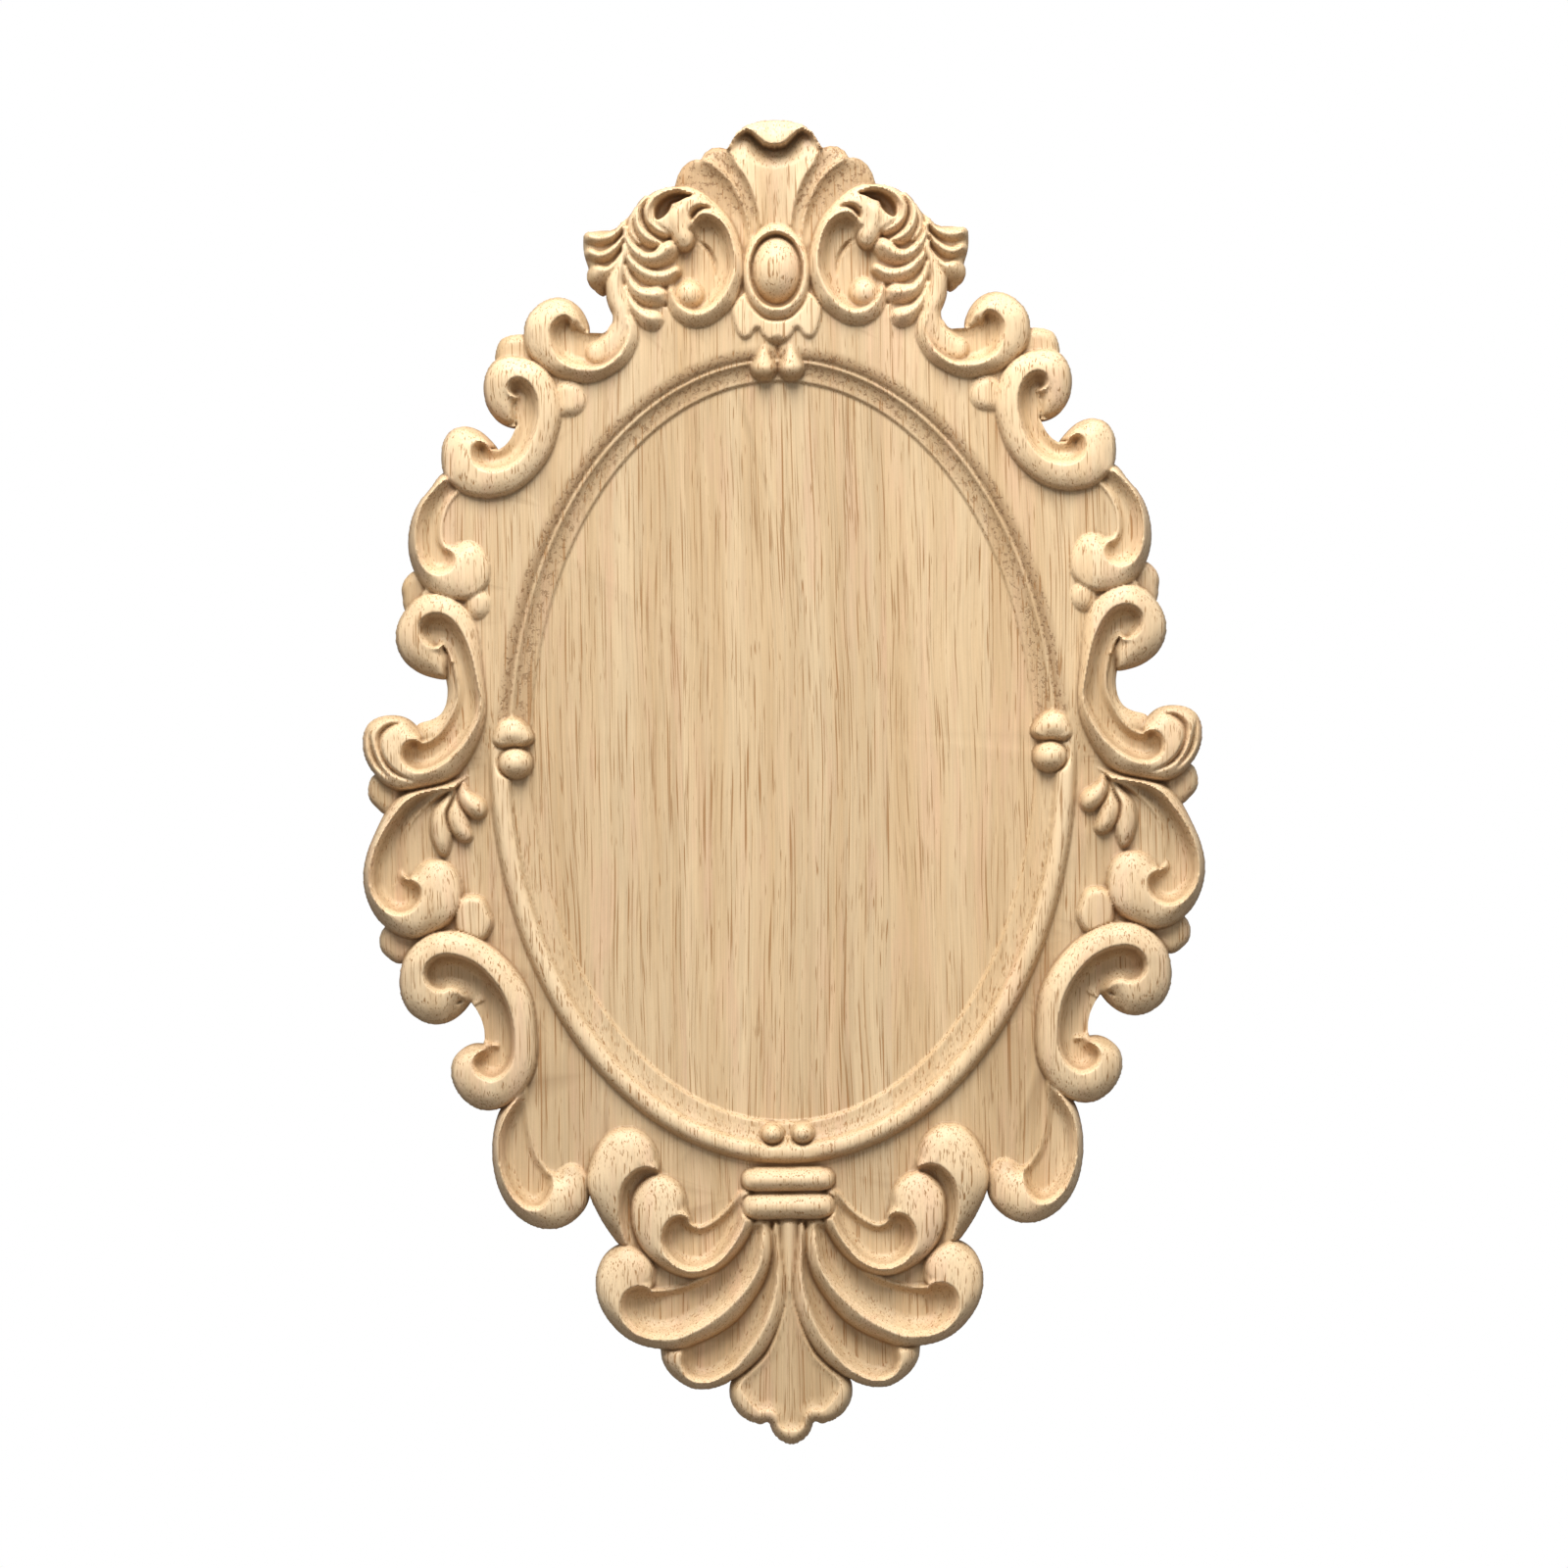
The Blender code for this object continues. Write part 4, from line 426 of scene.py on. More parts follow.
def shell(R):
    """Fan of flutes under a rolled lip."""
    side = [(0, 240.5), (-5, 240.1), (-10, 238.6), (-13.8, 235.6), (-16.6, 230.9), (-17.3, 230.2),
            (-20, 231.0), (-22.7, 230.8), (-25.4, 229.0), (-26.8, 226.4), (-28.7, 226.6), (-31.2, 225.9),
            (-33.6, 223.9), (-35.3, 221), (-36.4, 217.3), (-30, 212), (-20, 203), (-14, 192), (0, 186)]
    w, x, z, depth = R.footprint(np.array(both(side), float))
    first = curve([(-17.4, 232), (-15.6, 229), (-13, 223.4), (-10, 218.8), (-7.6, 213), (-6.0, 207),
                   (-5.2, 200)], FINE)
    second = curve([(-29.5, 227.4), (-26.2, 226.2), (-20.5, 222.6), (-15.6, 217.4), (-12.8, 212.0),
                    (-10.4, 205), (-9.0, 197)], FINE)
    third = curve([(-40, 218.5), (-33.6, 217), (-25, 213.8), (-19, 208.4), (-14.5, 202)], FINE)
    d1, s1 = near(first, x, z)[:2]
    d2, s2 = near(second, x, z)[:2]
    d3 = near(third, x, z)[0]
    dm = near(first * [-1, 1], x, z)[0]
    ridge = 14.2 + 2.0 * ease((z - 195) / 40)
    middle = ridge - 0.2 - 1.8 * valley(d1 / (d1 + dm)) ** 0.7
    flute = ridge - 2.6 * valley(d1 / (d1 + d2)) ** 0.6
    last = ridge - 2.9 * valley(np.clip(d2 / (d2 + d3), 0, 0.6)) ** 0.6
    h = np.where(s1 >= 0, middle, np.where(s2 >= 0, flute, last))
    # the scalloped edge of the side flutes leans back
    h = h - np.where(s1 < 0, 3.0 * (1 - dome(depth / 4.0)), 0)
    # hollow under the lip, and the lip itself
    lower = curve([(2, 230.6), (0, 230.5), (-4.3, 231.5), (-7, 234.5), (-10, 236.3), (-13.8, 234.4),
                   (-16.0, 231.4), (-18, 228)], FINE)
    dl = near(lower, -np.abs(x), z)[0]
    bound = np.interp(-np.abs(x), [-18, -16.2, -13.8, -11.8, -10, -8.4, -7, -4.3, -2.2, 0],
                      [228, 231.0, 234.6, 235.9, 236.3, 235.8, 234.5, 231.5, 230.7, 230.5])
    lip = (z > bound) & (np.abs(x) < 17.2)
    deep = 5.0 * np.clip(1 - dl / 8, 0, 1) ** 1.3 * np.clip(1.5 - np.abs(x) / 14, 0, 1) * ease(depth / 2.5)
    h = np.where(~lip & (s1 >= 0), h - deep, h)
    h = np.where(lip, 12.0 + 6.5 * dome(depth / np.maximum(depth + dl, 1e-6)), h)
    R.lay(w, depth, h)


def cabochon(R):
    """Egg in a rounded ring."""
    R.lobe(both([(0, 203.5), (-5, 202), (-9.5, 197.5), (-12.2, 191), (-12.9, 184), (-11.8, 177.5),
                 (-8.5, 171.5), (-4.5, 168.2), (0, 167.4)]), 17.0, 4.6, foot=8)
    R.dish(both([(0, 199.6), (-6.0, 196.9), (-9.7, 188.5), (-8.9, 179.5), (-5.4, 174.0), (0, 172.0)]),
           15.6, 4.6, 2.2)
    R.ball(0, 186.4, 9.3, 12.6, 18.5, foot=9)


def bib(R):
    """Low three-lobed leaf under the egg."""
    R.lobe(both([(0, 180), (-12, 178), (-16.5, 172), (-16.2, 168.3), (-15.4, 165.2), (-14.0, 162.2),
                 (-12, 160.9), (-9.5, 161.7), (-7.2, 164.6), (-5.8, 162.4), (-4.0, 160.5), (-2.0, 159.4),
                 (0, 159.0)]), 14.8, 1.6, foot=11)


def crest_scroll(R):
    """C-scroll beside the egg, with a ball in its lower end and a rolled upper end."""
    outer = [(-38, 206), (-40, 211), (-39, 215), (-36, 216.9), (-30, 216.3), (-22, 211.3), (-16, 204.5),
             (-13, 197), (-12.1, 190), (-12.6, 182), (-15, 175), (-20, 169), (-26, 165.7),
             (-32.5, 165.8), (-37.8, 169.5), (-40.2, 175), (-39.5, 180.5)]
    rim = [(-37.5, 184), (-37, 190), (-37, 196), (-37.5, 201)]
    ridge = [(-38.4, 179, 16), (-36.4, 174.8, 16.5), (-33.2, 172.0, 17), (-29.3, 170.6, 17.5),
             (-24.5, 171.8, 18), (-20, 176, TOP), (-16.8, 181.5, TOP), (-15.2, 188, TOP),
             (-16.0, 195.5, TOP), (-18.0, 201.0, TOP), (-21.5, 204.8, TOP), (-26, 206.0, TOP),
             (-29.5, 204.3, 18), (-31, 201.5, 17)]
    R.scroll(outer, rim, ridge, -2.0, -1.0)
    R.ball(-31.8, 177.6, 5.8, 6.0, 16.2, foot=9)
    R.lobe([(-46.0, 207.4), (-45.4, 204.4), (-43.4, 201.6), (-40.6, 199.8), (-38.0, 198.6), (-35.0, 199),
            (-34, 203), (-35, 209), (-38, 211.5), (-43, 211)], 17.0, 2.4, foot=11, p=2.2)
    R.lobe([(-40.2, 203), (-40.4, 206), (-38.8, 209.6), (-35.2, 212.0), (-30.6, 213.1), (-26, 213.2),
            (-22.4, 211.4), (-20.4, 209.9), (-24, 209.9), (-27.6, 209.4), (-30.2, 207.6), (-31.0, 204.6),
            (-30.4, 201.5), (-29.3, 198.5), (-29.7, 195.4), (-32, 193.3), (-34.6, 193.3), (-37.0, 195.8),
            (-38.8, 199.4)], 18.7, 4.4, foot=9, how="max", p=2.2)
    R.groove([(-29.0, 197.8, 0.3, 0.4), (-25.2, 194.8, 1.0, 2.2), (-22.9, 191, 1.0, 2.0),
              (-22.0, 186.8, 0.8, 1.2), (-22.2, 183, 0.3, 0.3)])
    R.groove([(-30.4, 203.0, 0.5, 1.5), (-30.0, 205.8, 1.7, 5.5), (-28.0, 208.0, 1.8, 5.0),
              (-25.0, 208.7, 1.2, 3.2), (-21.5, 207.9, 0.3, 0.5)])


def acanthus(R):
    """Strands that hook inwards from the spine, each with a bright upper side and a steep underside."""
    R.lobe([(-30, 216.3), (-38, 217), (-44.6, 214.8), (-48.6, 211.6), (-51.4, 208.4), (-54.0, 205.6),
            (-57, 203.5), (-58, 196), (-57, 184), (-54.5, 174), (-51.5, 166.5), (-47.5, 163.8),
            (-43, 164.6), (-40.6, 169), (-39.6, 177), (-37.5, 182), (-35.4, 188), (-36, 195), (-39, 200),
            (-36, 206), (-33, 211)], 12.6, 3.0, foot=6.5, how="max")
    for line in (
            [(-33, 215.2, 1.0, 1.4, 18), (-38.5, 215.0, 1.4, 1.9, 18), (-43.6, 212.6, 2.2, 2.2, 18),
             (-46.6, 208.4, 3.0, 1.6, 18), (-46.2, 204.4, 3.2, 1.6, 17.5),
             (-43.4, 201.8, 1.8, 3.0, 17), (-39.4, 199.6, 1.2, 2.0, 16)],
            [(-46.6, 212.9, 1.6, 1.0, 17), (-49.4, 209.6, 2.2, 1.2, 17), (-50.5, 205.8, 2.6, 1.4, 17.5),
             (-49.7, 202.2, 2.6, 2.2, 17.5), (-47.4, 198.9, 2.4, 3.2, 17.5),
             (-44.4, 197.0, 2.0, 3.2, 17), (-42.2, 196.4, 1.0, 2.0, 16)],
            [(-50.6, 208.6, 1.0, 0.8, 16), (-52.4, 204.6, 1.4, 1.0, 16.5), (-52.4, 200.6, 1.6, 1.6, 16.5),
             (-50.6, 197.4, 1.4, 2.0, 15.5), (-49.4, 196.4, 0.8, 1.2, 14.5)],
            [(-54.6, 202.0, 1.0, 1.0, 16.5), (-53.8, 197.6, 1.8, 2.0, 17), (-51.4, 193.8, 2.4, 3.2, 17),
             (-47.4, 191.2, 2.4, 4.2, 17), (-43.4, 191.2, 2.8, 4.6, 17.5),
             (-40.2, 193.2, 3.6, 5.2, 18), (-38.8, 194.4, 3.2, 4.4, 18)],
            [(-54.8, 195.4, 1.0, 1.0, 16.5), (-53.2, 190.6, 1.8, 2.4, 16.5),
             (-49.6, 186.8, 2.2, 3.6, 16.5), (-44.8, 184.5, 2.4, 4.4, 16.5), (-40.2, 184.4, 2.6, 4.0, 16.5),
             (-36.4, 186.2, 2.2, 2.4, 16)],
            [(-54.8, 188, 1.0, 1.2, 16), (-53.4, 183.0, 2.0, 2.6, 16), (-50, 178.8, 2.6, 4.0, 16.5),
             (-45.6, 177.4, 3.6, 5.2, 17.5), (-43.4, 177.4, 3.8, 5.2, 17.5)],
            [(-54.8, 180.6, 0.8, 1.2, 15.5), (-53.2, 175.6, 1.8, 2.4, 16), (-50.2, 171.6, 2.6, 3.6, 16.5),
             (-46.4, 169.2, 4.0, 5.2, 17.5), (-44.9, 168.8, 4.0, 5.2, 17.5)]):
        R.strand(line, foot=11.0, p=1.6, q=1.35)
    R.dish([(-43.9, 206), (-43.6, 209.4), (-41.2, 212.4), (-38, 214.2), (-35, 214.7), (-32, 214.0),
            (-29.8, 213.3), (-32.6, 212.4), (-35.6, 210.9), (-37.2, 210.6), (-38.0, 208.6),
            (-39.4, 206.6), (-41.2, 205.2), (-43, 204.6)], 14.6, 5.5, 1.7)


def wing(R):
    """Short fronds to the left of the spine."""
    R.lobe([(-53, 206), (-56.2, 203.6), (-60, 201.9), (-65, 201.6), (-69.3, 200.6), (-70, 196.5),
            (-69.4, 192), (-68.2, 188), (-67.6, 183.6), (-65.8, 180.2), (-63, 178.6), (-61.6, 180.6),
            (-57, 186), (-52, 190)], 11.5, 3.0, foot=6.5, how="max")
    for line in (
            [(-55.0, 203.2, 1.0, 0.9, 16), (-57.4, 200.4, 1.4, 1.8, 15.5), (-60.6, 198.7, 2.4, 2.8, 15),
             (-64.4, 198.2, 2.8, 3.4, 14.5), (-67.0, 198.8, 2.6, 3.0, 14.5)],
            [(-55.2, 198.4, 1.0, 1.0, 16.5), (-57.6, 195.4, 1.6, 2.2, 16), (-61, 192.9, 2.0, 3.2, 15.5),
             (-64.2, 192.2, 2.0, 3.4, 15), (-67.0, 193.4, 2.0, 2.8, 14.5)],
            [(-55.4, 192.8, 1.0, 1.2, 16.5), (-58, 189.0, 1.6, 2.6, 16), (-61.0, 186.9, 1.8, 5.0, 15.5),
             (-63.0, 186.7, 2.2, 6.6, 15.5), (-63.6, 186.8, 2.2, 6.6, 15.5)]):
        R.strand([(x, z, right, left, top) for x, z, left, right, top in line], foot=9.5, p=1.35, q=1.6)


def shoulder_scroll(R):
    outer = [(-73.7, 166.5), (-72.2, 166.1), (-70.6, 165.2), (-68.6, 164.6), (-68.3, 167.3),
             (-69.6, 171), (-72, 174.3), (-75.6, 176.8), (-79.6, 177.6), (-84, 176.5), (-88, 173.6),
             (-90.8, 169.8), (-91.9, 165), (-91.4, 159.5), (-89.5, 155.5), (-86, 152.3), (-82, 149.2),
             (-76, 147), (-69.6, 145.8), (-64.8, 146.6), (-59.8, 148.9), (-54.6, 152.6), (-51.4, 157.5),
             (-49.8, 162.5), (-50.6, 166.5), (-52.4, 170.5)]
    rim = [(-58.2, 171.5), (-59.4, 168.6), (-60.2, 165.8), (-63.0, 164.2), (-66.4, 163.6),
           (-68.8, 164.0), (-70.8, 164.9), (-72.4, 165.7), (-73.7, 166.5)]
    ridge = [(-73.7, 166.5, 15.2), (-74.1, 167.6, 16.2), (-74.7, 169.2, 17), (-76.2, 170.3, 17.4),
             (-78.0, 170.1, 17.5), (-79.8, 169.0, 17.5), (-81.6, 166.8, 18), (-82.2, 163.4, 18),
             (-81.4, 159.4, 18), (-79.2, 155, 18), (-75.2, 152.2, TOP), (-70.4, 151.0, TOP),
             (-65.6, 150.9, TOP), (-61.8, 152.2, TOP), (-58.0, 155.0, TOP), (-55.2, 159.0, 18),
             (-53.8, 164.0, 17.5), (-54.6, 169.5, 17)]
    R.lobe([(-76, 168), (-72, 168), (-69, 166.6), (-68.6, 163.5), (-71, 162), (-75, 164)],
           13.6, 1.5, foot=8, how="max")
    R.scroll(outer, rim, ridge, -2.0, -1.2)
    R.strand([(-55.0, 196, 0.6, 0.6, 16), (-55.4, 191.5, 1.0, 1.0, 16.5), (-56.8, 187, 2.0, 1.9, 16.8),
              (-58.2, 182, 3.2, 3.6, 17), (-57.6, 176.5, 3.8, 4.0, 17), (-55.9, 171, 3.6, 3.6, 17),
              (-55.6, 166, 4.2, 4.8, 16.4), (-58.2, 161.0, 4.8, 5.2, 15.6),
              (-61.8, 157.8, 5.2, 5.6, 15.0), (-64.6, 156.6, 4.8, 5.2, 14.6)], foot=9.5, p=2.4)


def upper_side_scroll(R):
    outer = [(-94.3, 141.1), (-94.7, 139.2), (-95.4, 136.6), (-95.1, 133.6), (-95.3, 131.0),
             (-98.6, 131.4), (-102.8, 134), (-105.7, 138.6), (-106.7, 144.4), (-105.9, 150),
             (-102.4, 154.9), (-97.5, 156.5), (-91.4, 155.6), (-85.2, 151.8), (-81.2, 147.2),
             (-78.8, 140), (-78.6, 134), (-80, 127.8), (-82, 121.8), (-85.4, 116), (-90, 111),
             (-96, 106.9), (-102, 105.1), (-108, 105), (-114, 106.6), (-119, 110.6), (-121.8, 115),
             (-122.5, 120), (-121.5, 126), (-118.2, 130), (-113.5, 131.2), (-109.1, 130),
             (-105.3, 127.1), (-102.3, 123.2), (-104.2, 123.0)]
    rim = [(-104.6, 122.7), (-102.4, 122.6), (-99.8, 123.4), (-97.3, 126), (-95.9, 128.6),
           (-95.0, 130.9), (-94.8, 133.6), (-95.1, 136.6), (-94.4, 139.2), (-94.3, 141.1)]
    ridge = [(-94.4, 141.1, 15), (-95.4, 141.4, 16.5), (-96.8, 142.2, 17), (-97.7, 144.2, 17.5),
             (-96.8, 147.0, 18), (-94.2, 148.1, 18), (-91.4, 147.3, TOP), (-88.8, 144.8, TOP),
             (-87.0, 140.5, TOP), (-86.6, 135.5, TOP), (-87.5, 130, TOP), (-88.9, 125.6, TOP),
             (-91.2, 121.2, TOP), (-94, 117.9, TOP), (-97.5, 115.5, TOP), (-101.6, 114.4, TOP),
             (-105.6, 114.5, TOP), (-108.7, 115.9, 18), (-110.7, 118.4, 18), (-111.1, 121.4, 17.5),
             (-110.2, 124.1, 17), (-108.2, 125.3, 16.5), (-106.2, 124.5, 16), (-104.6, 122.9, 15)]
    R.lobe([(-97, 133.5), (-95, 132.2), (-93, 133.5), (-92.5, 139), (-93.5, 142), (-96.5, 141.5),
            (-98.5, 137)], 13.4, 1.5, foot=8, how="max")
    R.lobe([(-107, 125), (-104, 124.3), (-102.0, 122.8), (-102.5, 120.5), (-106, 120.5),
            (-107.5, 122.5)], 10.5, 1.5, foot=8, how="max")
    R.scroll(outer, rim, ridge, -2.0, (-0.5, -1.6))
    R.lobe([(-79.5, 133.8), (-75.6, 133.2), (-71.8, 134.1), (-69.2, 136.8), (-68.3, 140), (-69, 143.2),
            (-71, 146.2), (-76, 148), (-80.5, 146), (-81, 139)], 15.2, 3.6, foot=9, how="max")
    R.lobe([(-92, 164.3), (-96.8, 164.2), (-100.2, 162.7), (-102.1, 159), (-102.4, 155), (-98, 150),
            (-90, 150), (-86, 154), (-86, 160)], 11.5, 3.0, foot=6, how="max")


def upper_leaf(R):
    outer = [(-117, 112.5), (-121.9, 114.3), (-126.7, 108.6), (-130.6, 104), (-133.2, 98.8),
             (-134.7, 92.5), (-134.9, 87), (-133.6, 80.8), (-131.0, 75.4), (-127.7, 71.8),
             (-123.0, 69.3), (-117.7, 68), (-113.1, 68.5), (-108.7, 70.7), (-105.7, 74.3), (-105, 78.9),
             (-106.2, 83.9), (-108.8, 87.7), (-112.4, 89.5), (-116, 89.4), (-118.4, 87.8)]
    rim = [(-120.2, 87.4), (-121.7, 89.6), (-121.9, 94.5), (-120.8, 99.6), (-118.3, 104.2), (-115.2, 107.6)]
    ridge = [(-118.5, 113.0, 16.5), (-121.6, 110.8, 17), (-126.2, 106.2, 17.5), (-129.5, 100.7, 18),
             (-131.1, 94.3, 18), (-131.1, 87.4, 18), (-129.5, 81.5, 18), (-126.5, 78.3, 18),
             (-123, 77.3, 18), (-119.9, 78.2, 18), (-117.8, 80.4, 17.5), (-117.3, 83.2, 17),
             (-118.4, 85.6, 15.5), (-119.4, 86.8, 14.5)]
    R.lobe([(-136.2, 64.5), (-137.4, 69.5), (-137.5, 73.6), (-135.9, 76.7), (-133, 79), (-128, 78),
            (-126, 70), (-130, 64)], 10.5, 3.0, foot=6)
    R.lobe([(-111.6, 60.6), (-108.6, 60.2), (-105.6, 62.6), (-104.4, 66.3), (-104.9, 69.6), (-108, 73),
            (-113, 72), (-115, 66)], 15.5, 3.8, foot=9, how="max")
    R.scroll(outer, rim, ridge, -1.2, 1.2)


def middle_scroll(R):
    outer = [(-122.6, 51.6), (-121.7, 49.6), (-121.1, 47.4), (-121.2, 45.2), (-121.6, 42.6),
             (-121.9, 39.9), (-127.4, 40.4), (-132.3, 42.5), (-136.6, 46.2), (-139.2, 51.0),
             (-139.8, 56), (-138.7, 60.6), (-135.8, 65.5), (-132.2, 69.0), (-127.7, 70.6),
             (-122.9, 70.0), (-118.5, 68.5), (-114.8, 65.8), (-112.0, 62), (-109.9, 57.5), (-108.6, 49),
             (-107.9, 41.3), (-107.2, 34), (-107.1, 27.6), (-108.1, 21.4), (-110.5, 15.4), (-113.6, 9.9),
             (-117.7, 5.2), (-122.4, 2.3), (-129.2, 0.5), (-134, -0.3), (-138.9, -0.6), (-143.4, 1.2),
             (-147.6, 4.8), (-150.7, 9.5), (-152.2, 14.6), (-152.1, 19.4), (-150.4, 23.4), (-147, 25.9),
             (-142.8, 26.8), (-138.9, 26.6), (-136.0, 25.4), (-134, 23.8), (-132.7, 22.4),
             (-131.6, 20.6), (-130.7, 18.8), (-131.0, 17.3)]
    rim = [(-130.7, 17.0), (-129.6, 17.2), (-127.4, 18.0), (-124.4, 20.4), (-121.8, 24.2),
           (-119.6, 28.4), (-118.3, 32), (-117.8, 36), (-118.2, 40), (-118.8, 43), (-119.6, 45.6),
           (-120.6, 48), (-121.5, 50.1), (-122.6, 51.6)]
    ridge = [(-122.7, 51.6, 15.5), (-123.9, 50.9, 16.5), (-125.8, 50.7, 17.5), (-128.7, 52.5, 18),
             (-130.6, 55.6, 18), (-130.6, 59.4, 18), (-128.2, 62.4, TOP), (-124.4, 63.3, TOP),
             (-120.2, 62.0, TOP), (-116.8, 58.6, TOP), (-113.9, 53.3, TOP), (-112, 47.9, TOP),
             (-110.8, 42.5, TOP), (-109.7, 36.8, TOP), (-108.9, 31.6, TOP), (-109.6, 26.4, TOP),
             (-111.8, 21.6, TOP), (-114.8, 16.8, TOP), (-119.0, 12.1, TOP), (-123.5, 8.8, TOP),
             (-128.3, 6.6, TOP), (-133.3, 6.4, 18), (-137, 9, 17.5), (-138.1, 12.4, 17.5),
             (-137.4, 15.3, 17), (-135.4, 17.4, 17), (-133, 17.8, 16.5), (-131, 17.2, 15.5)]
    R.lobe([(-144.4, -9.2), (-147.8, -6.6), (-150.2, -3.7), (-150.8, -0.4), (-149.2, 4.6), (-145, 6),
            (-138, 0), (-139, -7)], 10.5, 3.0, foot=6, how="max")
    # flank of the inner rim
    R.lobe([(-132.8, 22.8), (-130.5, 24.2), (-127.9, 24.8), (-124.2, 26.8), (-122.1, 30.4),
            (-121.4, 35.4), (-121.9, 39.9), (-122.8, 45.2), (-123.4, 50), (-121, 52.5), (-116, 50),
            (-114, 36), (-116, 26), (-121, 18), (-127, 13), (-132, 16)],
            13.0, 5.5, foot=7, how="max", p=1.35)
    R.scroll(outer, rim, ridge, -2.0, (1.0, -0.4))
    R.groove([(-149.9, 21.0, 0.3, 0.5), (-149.2, 16.8, 1.0, 2.4), (-148.4, 13.0, 1.3, 3.2),
              (-146.9, 9.6, 1.3, 3.2), (-145.0, 6.8, 1.0, 2.2), (-143.0, 4.4, 0.4, 0.8)])
    R.groove([(-137.8, 23.8, 0.4, 1.0), (-142.2, 22.7, 1.4, 3.0), (-145.6, 19.4, 1.7, 3.6),
              (-146.0, 15.4, 1.4, 3.2), (-144.2, 10.2, 1.3, 3.2), (-141.4, 6.8, 1.2, 3.0),
              (-138, 4.6, 0.9, 2.0), (-134.0, 3.0, 0.4, 0.8)])


def petals(R):
    for edge in ([(-119, 1), (-123.5, -3.5), (-127.2, -8), (-128.4, -14), (-127.5, -19.5), (-124.6, -24.4),
                  (-122.2, -24.9), (-120.2, -20.5), (-119.6, -14), (-118, -6)],
                 [(-116.5, 2), (-120, -4), (-122.4, -9.5), (-120.9, -15.7), (-117.9, -19.2),
                  (-114.3, -20.1), (-112.3, -17.6), (-113.5, -12.7), (-115.5, -6), (-114.5, 0)],
                 [(-115.6, 2.6), (-117.8, -0.2), (-118.2, -3.6), (-116.8, -7.4), (-114.4, -10.2),
                  (-111.4, -11.7), (-108.6, -11.1), (-107.2, -8.6), (-107.6, -5.4), (-109.6, -3),
                  (-112.2, -1.4), (-114.2, 0.6)]):
        R.lobe(edge, 15.8, 4.0, foot=9, p=1.8)


def lower_leaf(R):
    R.lobe([(-118.5, -40.9), (-116, -38.9), (-112.7, -38.4), (-109.1, -39.6), (-106.8, -44),
            (-105.5, -48.6), (-106.4, -52), (-108.4, -55), (-113, -57), (-119, -52)],
            14.6, 2.4, foot=9, how="max")
    R.lobe([(-145, -49.8), (-147.3, -54), (-146.8, -58.3), (-144, -61.5), (-140.4, -63.5), (-136, -62),
            (-128, -57), (-128, -51), (-138, -48)], 10.5, 3.0, foot=6, how="max")
    outer = [(-112.5, 5.5), (-119, 3.5), (-128.1, 1.0), (-137.5, -1.2), (-142, -4.5), (-144.6, -8.5),
             (-148.6, -16.5), (-151.5, -23.8), (-152.8, -31.2), (-152.0, -38.2), (-149.2, -45),
             (-145.0, -50), (-139.5, -53.2), (-133.5, -54.3), (-128.1, -53), (-123.6, -50.4),
             (-120.1, -47.2), (-117.8, -42.5), (-116.8, -37.2), (-117.6, -31.9), (-120.3, -27.6),
             (-124.5, -25.7), (-128.9, -25.8), (-132.3, -27.3), (-134.8, -30.2), (-136.0, -32.6)]
    rim = [(-138.0, -31.0), (-138.2, -26.5), (-137.6, -21.1), (-136.2, -16), (-133.8, -11.6),
           (-130.5, -7.9), (-126.6, -4.5), (-119, 0)]
    ridge = [(-118, 1.0, 15), (-126, -0.6, 16.5), (-131.6, -2.0, 17.5), (-136.2, -4.7, 18),
             (-141.0, -10.4, 18), (-145, -16.3, 18), (-147.9, -22.7, 18), (-149.5, -29.3, 18),
             (-149.3, -36, 18), (-147.2, -40.6, 18), (-143.7, -44.1, 18), (-139.4, -45.5, 18),
             (-135.2, -44.5, 18), (-132.2, -41.6, 18), (-131.1, -38, 17.5), (-131.8, -35.1, 17),
             (-134.2, -33.2, 15.5), (-136.6, -32.2, 14)]
    R.scroll(outer, rim, ridge, -1.2, (-0.6, 2.2))


